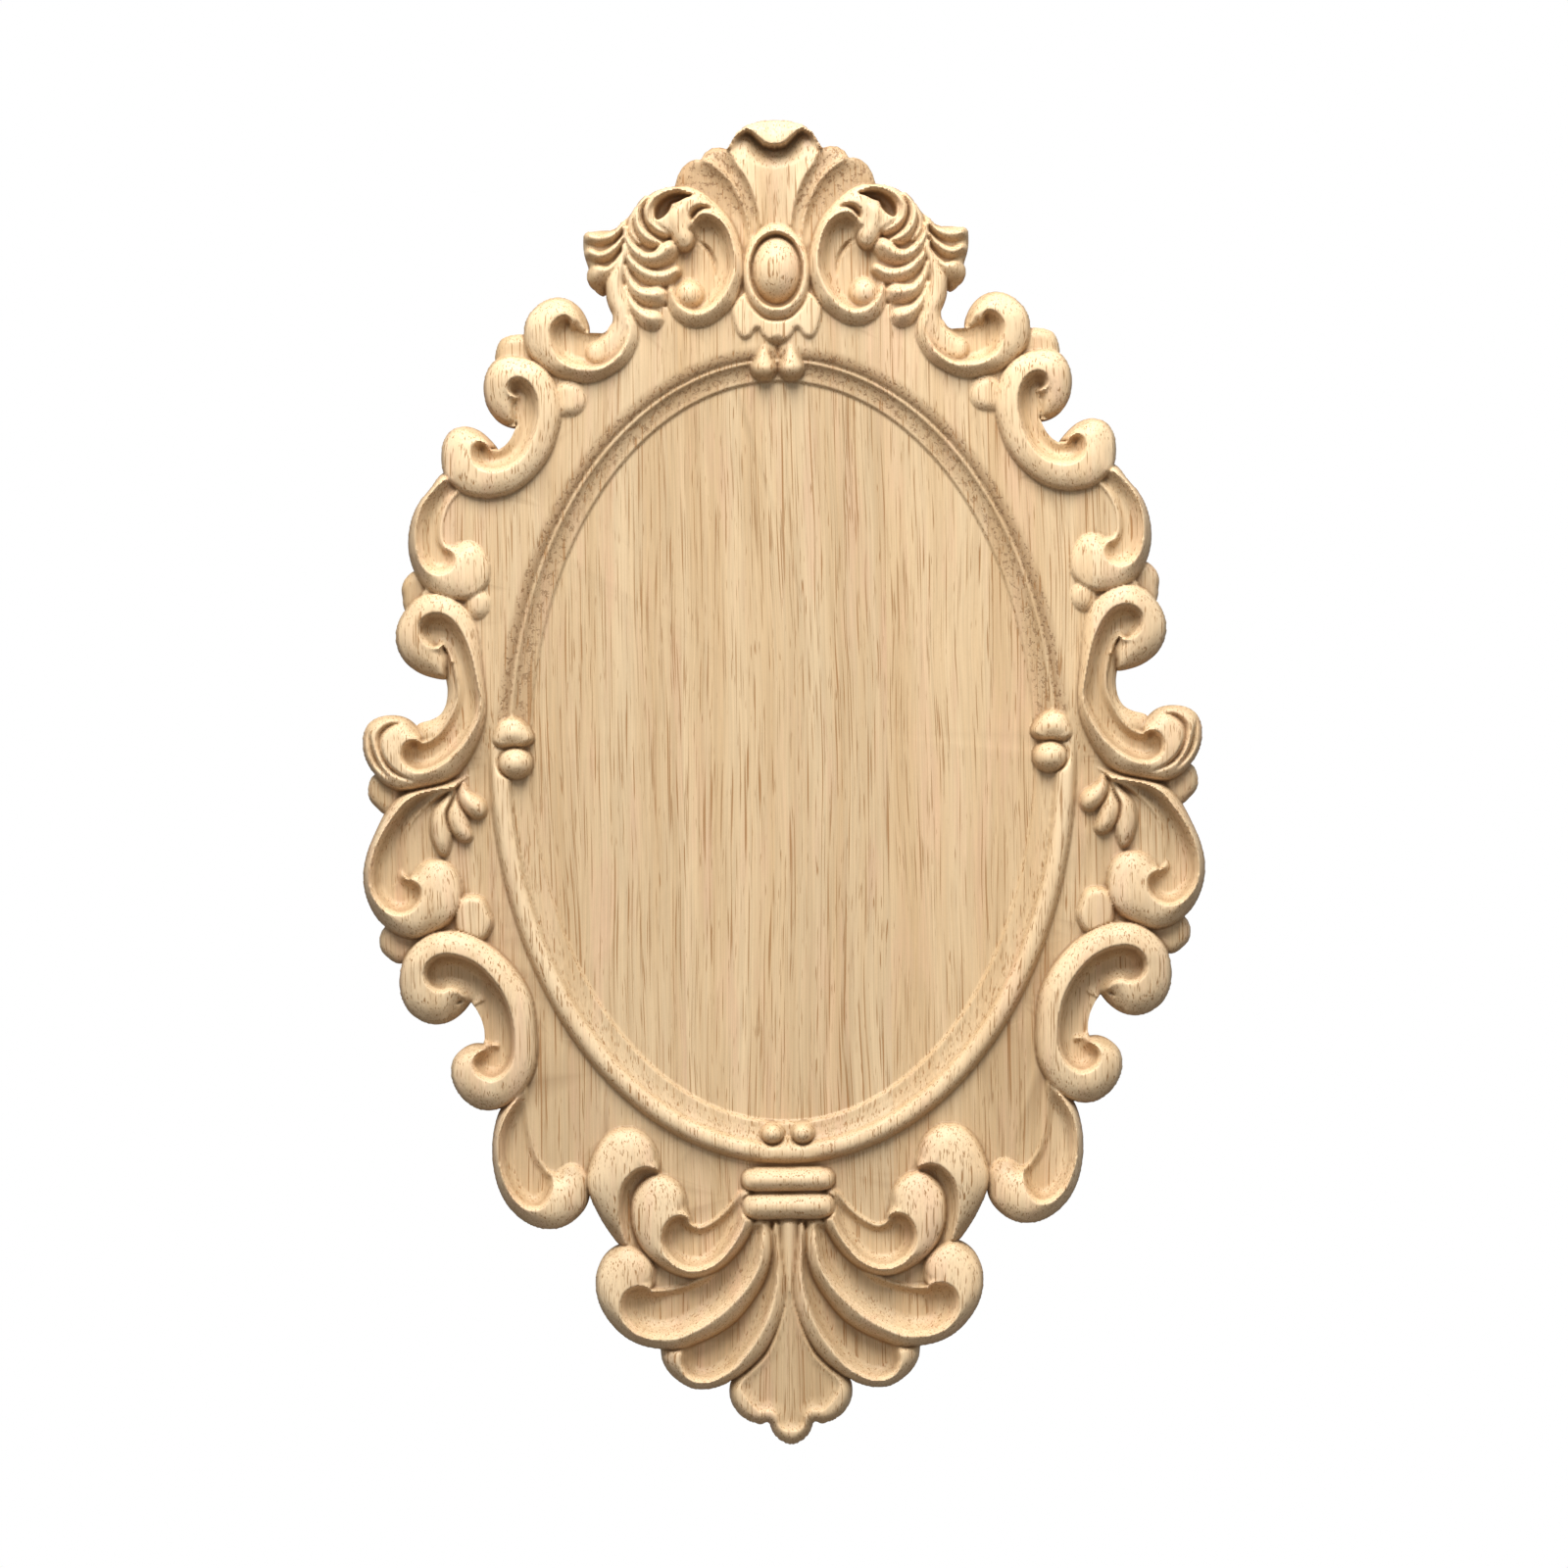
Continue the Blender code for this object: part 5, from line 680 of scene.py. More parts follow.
def lower_scroll(R):
    outer = [(-114.3, -77.5), (-116.9, -80.9), (-120.3, -83.8), (-124.5, -85.4), (-129, -85.4),
             (-133.6, -83.4), (-137.4, -79.8), (-139.5, -75.2), (-140.1, -70), (-139.3, -64.2),
             (-137, -59.4), (-133.3, -55.4), (-128.4, -52.6), (-122.5, -51.4), (-116.7, -52.1),
             (-111.2, -54.2), (-106.2, -57.3), (-101.9, -61.1), (-98.2, -65.3), (-94.9, -70),
             (-92.2, -76), (-91, -82.4), (-90.5, -88), (-90.3, -94.2), (-91, -100.9), (-93.2, -106.6),
             (-96.8, -111.4), (-101.3, -114.9), (-106.4, -116.9), (-111.6, -116.6), (-116.7, -113.5),
             (-120.3, -108.8), (-121.8, -103.5), (-120.9, -98.2), (-117.6, -94.6), (-113.6, -93.0),
             (-110.2, -93.1)]
    rim = [(-109.4, -91.3), (-109.5, -88.0), (-110.4, -84.2), (-112.2, -80.4)]
    ridge = [(-116.6, -75.2, 14.5), (-118.6, -73.4, 16), (-121.2, -72.7, 17), (-124.2, -73.4, 17.5),
             (-127.1, -72.9, 18), (-129.4, -71, 18), (-130.6, -67.6, 18), (-129.8, -63.9, TOP),
             (-127.2, -61.1, TOP), (-123.3, -59.9, TOP), (-118.6, -60.4, TOP), (-113.7, -62.2, TOP),
             (-109.5, -65, TOP), (-105.8, -69, TOP), (-102.7, -73.4, TOP), (-100.3, -78.5, TOP),
             (-98.8, -84.4, TOP), (-98.2, -90.5, TOP), (-98.5, -96.4, TOP), (-100, -100.9, TOP),
             (-102.9, -104.3, TOP), (-106.5, -105.7, 18), (-110.1, -104.8, 18), (-112.8, -102.2, 17.5),
             (-113.6, -99.2, 17), (-112.3, -96.6, 16), (-109.8, -94.8, 14.5)]
    R.scroll(outer, rim, ridge, -1.6, -0.8)


def foot_leaf(R):
    outer = [(-96.5, -104), (-99, -110.5), (-104.3, -117), (-106.3, -123), (-107.3, -130.5),
             (-106.9, -138), (-105, -145.8), (-101.4, -152.4), (-96.3, -157.2), (-90.9, -159.8),
             (-85.6, -160.4), (-80.5, -159), (-76.3, -156), (-73.2, -152), (-72.2, -147), (-72.6, -141),
             (-75.8, -137.3), (-79, -136.4), (-82.2, -137.5), (-84.2, -139.4)]
    rim = [(-86.3, -139.4), (-88.4, -137.0), (-90.6, -133.6), (-92.2, -128.4), (-93.2, -122.4),
           (-93.8, -115), (-94.0, -107)]
    ridge = [(-95.6, -106.5, 16), (-97.6, -112.5, 16.5), (-100.6, -117.2, 17), (-103.3, -122.8, 17.5),
             (-104.4, -129.5, 18), (-104.0, -136.2, 18), (-102.2, -142.6, 18), (-99, -148.4, 18),
             (-94.9, -151.9, 18), (-90.4, -152.3, 18), (-87.2, -149.9, 17.5), (-85.6, -146.4, 16.5),
             (-85.2, -142.8, 15), (-85.4, -140.4, 13.5)]
    R.scroll(outer, rim, ridge, -1.0, 0.8)


def comma(R):
    """Large rounded lobe with a scooped right side."""
    outer = [(-46.8, -140.2), (-46.2, -136.4), (-47.6, -131.6), (-50.4, -127.2), (-54.6, -124.2),
             (-59.6, -123.6), (-64.6, -125.3), (-68.6, -129.8), (-71.4, -135.6), (-72.8, -141.5),
             (-72.2, -147.5), (-69.4, -154.6), (-65.6, -161.2), (-61.4, -166.6), (-57.5, -169)]
    rim = [(-52, -166), (-48, -158), (-45, -148)]
    ridge = [(-46.6, -139.2, 14), (-48.6, -138.2, 16), (-51.6, -137.8, 17), (-54.8, -138.6, 17.5),
             (-57.6, -140.8, 18), (-60.0, -144.2, 18), (-61.2, -148.6, 17.5), (-61.4, -154, 16.5),
             (-60.4, -160, 15), (-58.5, -167, 13.5)]
    R.scroll(outer, rim, ridge, -0.6, 0.5, wall=5.0)


def rib_petal(R):
    outer = [(-47.2, -203), (-46.6, -208.4), (-44.2, -212.9), (-40.3, -216.5), (-35.5, -219),
             (-30.3, -219.3), (-24.9, -217.9), (-18.6, -214.3), (-13.2, -209.9), (-8.7, -204.7),
             (-5.1, -198), (-2.8, -192), (-1.6, -187), (-1.2, -182), (-1.8, -176), (-2.6, -170),
             (-3.0, -160)]
    rim = [(-5, -158), (-8, -168), (-12, -178), (-18, -187), (-26, -195), (-36, -201), (-43, -202.6)]
    ridge = [(-41.5, -201.5, 15), (-39.6, -205.0, 16.5), (-39.6, -209.5, 17), (-38.0, -213.3, 17),
             (-34.4, -215.4, 17), (-29.5, -215.6, 17), (-24.8, -213.6, 17), (-20, -210.2, 17),
             (-15.4, -204.8, 17), (-11.4, -199, 17), (-8.3, -193, 17), (-6.2, -187, 16.5),
             (-4.9, -181, 16), (-4.4, -175, 15.5), (-4.6, -168, 15), (-4.8, -159, 14.6)]
    R.scroll(outer, rim, ridge, -1.5, 0.0)


def finial(R):
    """Slightly hollowed bottom leaf with three lobes, and its stem on the axis."""
    half = [(0, -156), (-3.6, -156.4), (-3.8, -168), (-3.4, -178), (-2.8, -188), (-4.4, -194),
            (-6.8, -200.4), (-9.8, -206.2), (-14.8, -211.2), (-20.6, -215.6), (-22.3, -219),
            (-21.9, -223.6), (-19.6, -227.7), (-15.8, -230.9), (-11.4, -232.3), (-8.2, -231.9),
            (-7.4, -234), (-5.6, -236.9), (-3, -238.9), (0, -239.8)]
    R.lobe(both(half), 14.6, 3.4, foot=5.5)
    R.dish(both([(0, -184), (-2.2, -190), (-5.4, -199), (-9.4, -207), (-16.2, -213.8), (-17.9, -217.6),
                 (-17.0, -220.8), (-14.7, -223.8), (-11.2, -226.8), (-7.6, -226.6), (-5.4, -228.4),
                 (-4.6, -231.8), (-2.6, -233.6), (0, -234.0)]), 14.4, 2.2, 5.0)


def large_scroll(R):
    outer = [(-50.4, -182.2), (-48.7, -180.4), (-48.0, -176.9), (-49.3, -172.8), (-52.3, -169.2),
             (-56.4, -167.0), (-60.5, -166.6), (-64.4, -168.2), (-67.6, -171.2), (-69.7, -175.4),
             (-70.4, -180.3), (-69.4, -186.8), (-66.2, -193.3), (-61, -199.1), (-54.7, -202.8),
             (-47.6, -204.4), (-40, -204.5), (-33.2, -202.4), (-26.3, -199.2), (-20, -195),
             (-15.5, -190.2), (-11.5, -184.6), (-8.6, -179), (-6.8, -173), (-6.0, -166), (-6.5, -158)]
    rim = [(-10, -157), (-17.9, -162), (-24.5, -170.5), (-31.5, -177.8), (-37, -180.4), (-42, -181.8),
           (-46.2, -182.5), (-49.2, -182.2)]
    ridge = [(-50.6, -181.4, 15.5), (-52, -181.0, 16.5), (-54.6, -180.8, 17), (-57.6, -181.5, 17.5),
             (-60.1, -183.6, 18), (-61.3, -187.2, TOP), (-60.7, -191.6, TOP), (-57.8, -195.9, TOP),
             (-53, -198.8, TOP), (-47, -199.9, TOP), (-40.8, -199.2, TOP), (-34.4, -196.7, TOP),
             (-28, -193.0, TOP), (-22.2, -188.4, TOP), (-17.4, -183.6, TOP), (-13.6, -178.6, 18),
             (-11.2, -173.6, 17.5), (-10.0, -167.5, 16.5), (-9.2, -160, 14.5)]
    R.scroll(outer, rim, ridge, -1.0, 1.6, wall=7.0)


def inner_scroll(R):
    outer = [(-36.3, -154.5), (-37.1, -148.8), (-39.9, -143.9), (-44.2, -141.2), (-49, -141.2),
             (-53.3, -143.9), (-56.3, -148.6), (-57.1, -154.5), (-56.2, -161.2), (-53.2, -167.8),
             (-48.5, -173), (-43, -176.7), (-37, -178.6), (-31, -178.3), (-25.2, -175.8), (-20, -171.6),
             (-15.8, -166), (-12.6, -158.8), (-12.4, -152)]
    rim = [(-14.5, -146), (-17.9, -147.5), (-20.6, -151.4), (-24.4, -155.4), (-28.9, -158.6),
           (-32.6, -159.9), (-35.4, -158.8)]
    ridge = [(-35.6, -157.0, 14.5), (-37.4, -155.8, 16), (-39.9, -155.4, 17), (-42.6, -156.4, 17.5),
             (-44.7, -158.6, 18), (-46.0, -162, 18), (-45.9, -166.2, 18), (-43.7, -170.7, TOP),
             (-40, -173.8, TOP), (-35.3, -175.3, TOP), (-30.2, -174.6, TOP), (-25.6, -172, TOP),
             (-21.6, -167.6, TOP), (-18.3, -162.6, TOP), (-16.1, -157, TOP), (-15.4, -150, 18)]
    R.scroll(outer, rim, ridge, -1.0, 1.6)


def smooth(H, mask, sigma):
    """Softened heights, taken only from places inside the mask."""
    n = max(1, int(3 * sigma + 0.5))
    k = np.exp(-0.5 * (np.arange(-n, n + 1) / max(sigma, 1e-3)) ** 2)
    k /= k.sum()

    def blur(a):
        p = np.pad(a, n, mode="edge")
        r = sum(k[i] * p[i:i + a.shape[0], :] for i in range(2 * n + 1))
        return sum(k[i] * r[:, i:i + a.shape[1]] for i in range(2 * n + 1))

    level = blur(np.where(mask, H, 0.0)) / np.maximum(blur(mask.astype(float)), 1e-6)
    return np.where(mask, level, H)


ORNAMENTS = (board, moulding, shell, bib, cabochon, wing, crest_scroll, acanthus,
             shoulder_scroll, upper_leaf, upper_side_scroll, petals, lower_leaf, middle_scroll,
             foot_leaf, lower_scroll, side_beads, top_beads, bottom_beads, comma, finial,
             rib_petal, large_scroll, inner_scroll, collar)


def carve(step, rounding=ROUNDING):
    """Whole left half of the carving, ornament by ornament from the lowest up."""
    R = Relief(step)
    for ornament in ORNAMENTS:
        ornament(R)
    R.H = smooth(R.H, R.H > 0, rounding / step)
    return R


def mirrored(half):
    """Whole grid from its left half."""
    return np.hstack([half, half[:, -2::-1]])


def carved_grid(relief):
    """Places of the grid's points in metres, and which of its squares are wood.
    The points of the border are moved onto the outline."""
    x = np.hstack([relief.X, -relief.X[:, -2::-1]])
    z, height, depth = mirrored(relief.Z), mirrored(relief.H), mirrored(relief.S)
    wood = (depth[:-1, :-1] + depth[1:, :-1] + depth[:-1, 1:] + depth[1:, 1:]) > 0
    used = np.zeros(depth.shape, int)
    for row in (0, 1):
        for column in (0, 1):
            used[row:row + wood.shape[0], column:column + wood.shape[1]] += wood
    border = (used > 0) & (used < 4)
    slope_z, slope_x = np.gradient(depth, relief.step)
    steepness = np.maximum(np.hypot(slope_x, slope_z), 1e-6)
    slip = np.clip(depth, -1.2 * relief.step, 1.2 * relief.step)
    x = np.where(border, x - slip * slope_x / steepness, x)
    z = np.where(border, z - slip * slope_z / steepness, z)
    return np.stack([x, -height, z], axis=-1) * MM, wood


def carve_mesh(name, relief):
    """Closed mesh of the panel: the carved front, the edges and the flat back."""
    places, wood = carved_grid(relief)
    rows, columns = wood.shape
    bm = bmesh.new()
    bmesh.ops.create_grid(bm, x_segments=columns, y_segments=rows, size=1)
    mesh = bpy.data.meshes.new(name)
    bm.to_mesh(mesh)
    bm.free()
    mesh.vertices.foreach_set("co", places.astype(np.float32).ravel())

    bm = bmesh.new()
    bm.from_mesh(mesh)
    waste = [face for face, kept in zip(bm.faces, wood.ravel()) if not kept]
    bmesh.ops.delete(bm, geom=waste, context="FACES")
    border = [edge for edge in bm.edges if edge.is_boundary]
    walls = bmesh.ops.extrude_edge_only(bm, edges=border)["geom"]
    for vert in walls:
        if isinstance(vert, bmesh.types.BMVert):
            vert.co.y = 0.0
    rim = [edge for edge in walls if isinstance(edge, bmesh.types.BMEdge) and edge.is_boundary]
    bmesh.ops.triangle_fill(bm, edges=rim, use_beauty=True, normal=(0, 1, 0))
    bmesh.ops.triangulate(bm, faces=[face for face in bm.faces if len(face.verts) > 3])
    bmesh.ops.recalc_face_normals(bm, faces=bm.faces)
    bm.to_mesh(mesh)
    bm.free()
    return mesh


def thinned(panel, triangles):
    """Mesh of the panel with fewer triangles, the flat parts thinned first."""
    thin = panel.modifiers.new("thin", "DECIMATE")
    thin.decimate_type = "COLLAPSE"
    thin.ratio = min(1.0, triangles / len(panel.data.polygons))
    depsgraph = bpy.context.evaluated_depsgraph_get()
    mesh = bpy.data.meshes.new_from_object(panel.evaluated_get(depsgraph))
    panel.modifiers.clear()
    mesh.shade_smooth()
    mesh.set_sharp_from_angle(angle=math.radians(CREASE_ANGLE))
    return mesh


def rough_places(relief):
    """Where the gouge left the wood rough: the side flutes of the shell and the upper moulding."""
    x, z = relief.X, relief.Z
    d = past_oval(x, z)
    cove = 0.45 * ease((d - 0.8) / 0.8) * (d < 7.2)
    roll = ease((d - 8.0) / 0.5) * ease((13.8 - d) / 4.5)
    band = (cove + roll) * ease(z / 12)
    low = relief.H < ground(z) + 0.6
    flutes = np.zeros_like(x)
    window, _, _, depth = relief.footprint(np.array(ROUGH_FLUTES))
    flutes[window] = ease(depth.reshape(flutes[window].shape))
    flutes = 0.6 * flutes * ease((z - 200) / 12) * (relief.H < 17.5)
    return smooth(np.maximum(band * low, flutes), relief.H > 0, 0.5 / relief.step)


def note_crease_shade_and_rough(mesh, relief):
    """Stores on each point of the front how deep it lies in a crease, for the painted shade there, and how
    rough the wood is there.
    """
    points = np.empty(3 * len(mesh.vertices), np.float32)
    mesh.vertices.foreach_get("co", points)
    x, y, z = points.reshape(-1, 3).T / MM
    rows, columns = relief.X.shape
    column = np.clip(np.rint((-np.abs(x) - relief.X[0, 0]) / relief.step), 0, columns - 1).astype(int)
    row = np.clip(np.rint((z - relief.Z[0, 0]) / relief.step), 0, rows - 1).astype(int)
    front = y < -0.5 * FOOT
    # painted shade: points that lie below their softened surroundings are darkened, more the deeper they
    # lie
    wide = smooth(relief.H, relief.H > 0, CREASE_SHADE_REACH / relief.step)
    crease_shade = np.clip((wide - relief.H - CREASE_SHADE_START) / CREASE_SHADE_DEPTH, 0, 1)
    crease_shade[relief.H < FIELD + 0.2] = 0
    for name, marks in (("crease_shade", crease_shade), ("rough", rough_places(relief))):
        values = np.where(front, marks[row, column], 0).astype(np.float32)
        mesh.attributes.new(name, "FLOAT", "POINT").data.foreach_set("value", values)


class Recipe:
    """Short ways to lay out a material's nodes."""

    def __init__(self, material):
        material.use_nodes = True
        self.nodes = material.node_tree.nodes
        self.links = material.node_tree.links
        self.shader = self.nodes["Principled BSDF"]

    def put(self, socket, value):
        """Links an output to a socket, or sets a plain value on it."""
        if isinstance(value, bpy.types.NodeSocket):
            self.links.new(value, socket)
        elif value is not None:
            socket.default_value = value

    def mark(self, name):
        """A value stored on the points of the mesh."""
        node = self.nodes.new("ShaderNodeAttribute")
        node.attribute_name = name
        return node.outputs["Fac"]

    def math(self, operation, a, b=None):
        node = self.nodes.new("ShaderNodeMath")
        node.operation = operation
        self.put(node.inputs[0], a)
        self.put(node.inputs[1], b)
        return node.outputs[0]

    def vector(self, operation, a, b):
        node = self.nodes.new("ShaderNodeVectorMath")
        node.operation = operation
        self.put(node.inputs[0], a)
        self.put(node.inputs[1], b)
        return node.outputs[0]

    def noise(self, place, grain, detail, rough):
        """Noise that repeats as often along each axis as the grain says."""
        node = self.nodes.new("ShaderNodeTexNoise")
        self.put(node.inputs["Vector"], self.vector("MULTIPLY", place, grain))
        node.inputs["Scale"].default_value = 1.0
        node.inputs["Detail"].default_value = detail
        node.inputs["Roughness"].default_value = rough
        return node.outputs["Fac"]

    def span(self, value, low, high, out_low=0.0, out_high=1.0):
        """Stretches a range of values to another, and keeps it within the new one."""
        node = self.nodes.new("ShaderNodeMapRange")
        node.interpolation_type = "SMOOTHSTEP"
        for socket, number in zip(node.inputs, (value, low, high, out_low, out_high)):
            self.put(socket, number)
        return node.outputs[0]

    def mix(self, share, a, b, blend="MIX"):
        node = self.nodes.new("ShaderNodeMix")
        node.data_type = "RGBA"
        node.blend_type = blend
        self.put(node.inputs["Factor"], share)
        self.put(node.inputs["A"], a)
        self.put(node.inputs["B"], b)
        return node.outputs["Result"]

    def tint(self, colour, mask, share, towards):
        """Moves a colour towards another where the mask says, by a share of the way."""
        return self.mix(self.math("MULTIPLY", mask, share), colour, (*towards, 1))


def make_wood(wood):
    """Bare pale wood: glued staves with upright grain, open pores, and browner, rougher end grain; the
    brown of the undersides is partly painted shade, and there is painted shade in the creases and on the
    sunk ground, and a painted highlight on the raised wood.
    """
    material = bpy.data.materials.new("pale_wood")
    recipe = Recipe(material)
    coordinates = recipe.nodes.new("ShaderNodeTexCoord")
    place = coordinates.outputs["Object"]
    axes = recipe.nodes.new("ShaderNodeSeparateXYZ")
    recipe.put(axes.inputs[0], place)
    raised = recipe.span(recipe.math("MULTIPLY", axes.outputs["Y"], -1.0), *RAISED_WOOD)
    facing = recipe.nodes.new("ShaderNodeSeparateXYZ")
    recipe.put(facing.inputs[0], coordinates.outputs["Normal"])

    # each stave of the board has its own tone and its own stretch of grain
    stave = recipe.math("FLOOR", recipe.math("DIVIDE", recipe.math("ADD", axes.outputs["X"],
                                                                   wood.stave_shift), wood.stave_width))
    dice = recipe.nodes.new("ShaderNodeTexWhiteNoise")
    dice.noise_dimensions = "1D"
    recipe.put(dice.inputs["W"], stave)
    lot = recipe.vector("SCALE", dice.outputs["Color"], None)
    lot.node.inputs["Scale"].default_value = 3.0
    own_place = recipe.vector("ADD", place, lot)

    # the grain leans a little to one side and the other
    lean = recipe.noise(own_place, LEAN_GRAIN, 2.0, 0.5)
    sideways = recipe.nodes.new("ShaderNodeCombineXYZ")
    recipe.put(sideways.inputs["X"], recipe.math("MULTIPLY", lean, 0.012))
    grain_place = recipe.vector("ADD", own_place, sideways.outputs[0])

    # grain: long soft bands, fine fibres, and open pores that run as dark streaks
    bands = recipe.noise(grain_place, BAND_GRAIN, 4.0, 0.65)
    fibres = recipe.noise(grain_place, FIBRE_GRAIN, 2.0, 0.6)
    pores = None
    for widen, lengthen, start in PORE_LAYERS:
        across, along = 0.5 / (wood.pore_width * widen), 0.8 / (wood.pore_length * lengthen)
        streaks = recipe.noise(grain_place, (across, across, along), 2.0, 0.45)
        layer = recipe.span(streaks, start, start + 0.10)
        pores = layer if pores is None else recipe.math("MAXIMUM", pores, layer)

    # slopes that face up or down cut across the fibres; those that face down are also darkened, as painted
    # shade
    cross_cut = recipe.span(recipe.math("ABSOLUTE", facing.outputs["Z"]), 0.35, 0.9)
    under = recipe.span(recipe.math("MULTIPLY", facing.outputs["Z"], -1.0), 0.15, 0.85)
    speckle = recipe.span(recipe.noise(own_place, SPECKLE_GRAIN, 2.0, 0.7), 0.5, 0.75)

    colour = recipe.mix(recipe.span(bands, 0.3, 0.75), (*wood.pale, 1), (*wood.warm, 1))
    blush = recipe.noise(grain_place, BLUSH_GRAIN, 3.0, 0.6)
    colour = recipe.tint(colour, recipe.span(blush, 0.48, 0.72), BLUSH_SHARE, wood.blush)
    tone = recipe.math("MULTIPLY", recipe.span(dice.outputs["Value"], 0.0, 1.0, 0.95, 1.03),
                       recipe.span(fibres, 0.3, 0.7, 1.07, 0.91))
    # wood below the raised carving is painted darker, as painted shade beside the raised ornaments
    tone = recipe.math("MULTIPLY", tone, recipe.span(raised, 0.0, 1.0, wood.sunk_shade_tone, 1.0))
    shade = recipe.nodes.new("ShaderNodeCombineColor")
    for socket in shade.inputs:
        recipe.put(socket, tone)
    colour = recipe.mix(1.0, colour, shade.outputs[0], "MULTIPLY")
    # raised wood is painted paler: painted highlight, and the paler sanded surface
    colour = recipe.tint(colour, raised, SANDED_AND_HIGHLIGHT_SHARE, wood.sanded_and_highlight)
    # undersides turn browner: end grain, and painted shade under the carving
    colour = recipe.tint(colour, under, END_GRAIN_AND_SHADE_SHARE, wood.end_grain_and_shade)
    crease_shade = recipe.mark("crease_shade")
    rough_wood = recipe.mark("rough")
    pits = recipe.noise(own_place, PIT_GRAIN, 3.0, 0.7)
    pits = recipe.math("MULTIPLY", recipe.span(pits, 0.54, 0.61), recipe.span(rough_wood, 0.1, 0.6))
    colour = recipe.tint(colour, rough_wood, ROUGH_SHARE, wood.rough_wood)
    # painted shade: the creases are darkened by the stored crease depth
    colour = recipe.tint(colour, crease_shade, CREASE_SHADE_SHARE, wood.crease_shade)
    # speckle of cut fibres on slopes, denser on the undersides, where it adds to their painted shade
    coarse = recipe.math("ADD", recipe.math("MULTIPLY", cross_cut, 0.15),
                         recipe.math("MULTIPLY", under, 0.4))
    dots = recipe.math("MULTIPLY", speckle, recipe.math("ADD", coarse, 0.06))
    colour = recipe.mix(dots, colour, (*wood.pore, 1))
    # the pits of the rough wood take the same dark brown as the painted shade in the creases
    colour = recipe.tint(colour, pits, PIT_SHARE, wood.crease_shade)
    colour = recipe.tint(colour, pores, PORE_SHARE, wood.pore)
    recipe.put(recipe.shader.inputs["Base Color"], colour)

    rough = recipe.math("ADD", wood.roughness, recipe.math("MULTIPLY", cross_cut, 0.12))
    recipe.put(recipe.shader.inputs["Roughness"], rough)
    recipe.shader.inputs["Specular IOR Level"].default_value = 0.4

    bump = recipe.nodes.new("ShaderNodeBump")
    bump.inputs["Strength"].default_value = 0.5
    bump.inputs["Distance"].default_value = wood.pore_depth
    relief = recipe.math("SUBTRACT", recipe.math("MULTIPLY", fibres, 0.35), recipe.math("ADD", pores, dots))
    recipe.put(bump.inputs["Height"], recipe.math("SUBTRACT", relief, pits))
    recipe.put(recipe.shader.inputs["Normal"], bump.outputs[0])
    return material


class AppliqueCarving(bpy.types.PropertyGroup):
    """Colours and grain of the wood, and the colours of its painted shade and highlight"""

    grid: FloatProperty(name="Grid", description="Distance between the points the carving is worked out on",
                        default=0.0005, min=0.0003, unit="LENGTH", precision=5)
    rounding: FloatProperty(name="Rounding", description="Softness that sanding leaves on the edges",
                            default=0.0003, min=0.0, unit="LENGTH", precision=5)
    triangles: IntProperty(name="Triangles", description="Triangles kept on the finished panel",
                           default=188000, min=10000, max=199000)


class AppliqueWood(bpy.types.PropertyGroup):
    """Colours and grain of the wood"""

    pale: FloatVectorProperty(name="Pale", description="Colour of the lightest wood",
                              subtype="COLOR", min=0, max=1, default=(0.80, 0.59, 0.35))
    warm: FloatVectorProperty(name="Warm", description="Colour of the darker bands of the grain",
                              subtype="COLOR", min=0, max=1, default=(0.67, 0.45, 0.235))
    blush: FloatVectorProperty(name="Blush", description="Colour of the pinker streaks of the grain",
                               subtype="COLOR", min=0, max=1, default=(0.80, 0.50, 0.31))
    pore: FloatVectorProperty(name="Pore", description="Colour of the open pores",
                              subtype="COLOR", min=0, max=1, default=(0.36, 0.185, 0.07))
    # painted highlight and sanded surface: the paler colour of the raised wood
    sanded_and_highlight: FloatVectorProperty(name="Sanded", description="Colour that sanding leaves on the raised wood",
                                subtype="COLOR", min=0, max=1, default=(0.88, 0.74, 0.55))
    # end grain and painted shade: the brown given to slopes that face down
    end_grain_and_shade: FloatVectorProperty(name="End grain",
                                   description="Colour of slopes that cut across the fibres",
                                   subtype="COLOR", min=0, max=1, default=(0.36, 0.19, 0.07))
    # painted shade: the dark brown laid into the creases, also used for the pits of the rough wood
    crease_shade: FloatVectorProperty(name="Hollow", description="Colour of the wood deep in the carved hollows",
                                subtype="COLOR", min=0, max=1, default=(0.26, 0.145, 0.065))
    rough_wood: FloatVectorProperty(name="Rough wood",
                                    description="Colour of the wood the gouge left rough",
                                    subtype="COLOR", min=0, max=1, default=(0.36, 0.215, 0.105))
    stave_width: FloatProperty(name="Stave width", description="Width of each glued stave of the board",
                               default=0.0373, unit="LENGTH", precision=4)
    stave_shift: FloatProperty(name="Stave shift", description="Shift of the glue joints to the left",
                               default=0.0363, unit="LENGTH", precision=4)
    pore_width: FloatProperty(name="Pore width", description="Width of a pore streak",
                              default=0.00033, unit="LENGTH", precision=5)
    pore_length: FloatProperty(name="Pore length", description="Length of a short pore streak",
                               default=0.020, unit="LENGTH", precision=4)
    pore_depth: FloatProperty(name="Pore depth", description="Depth of the open pores",
                              default=0.00025, unit="LENGTH", precision=5)
    # painted shade: darkening of the ground and the field below the raised carving
    sunk_shade_tone: FloatProperty(name="Sunk tone", description="Tone of the ground beside the raised ornaments",
                             default=0.83, min=0.5, max=1.2)
    roughness: FloatProperty(name="Roughness", description="Roughness of the sanded wood",
                             default=0.52, min=0, max=1, subtype="FACTOR")


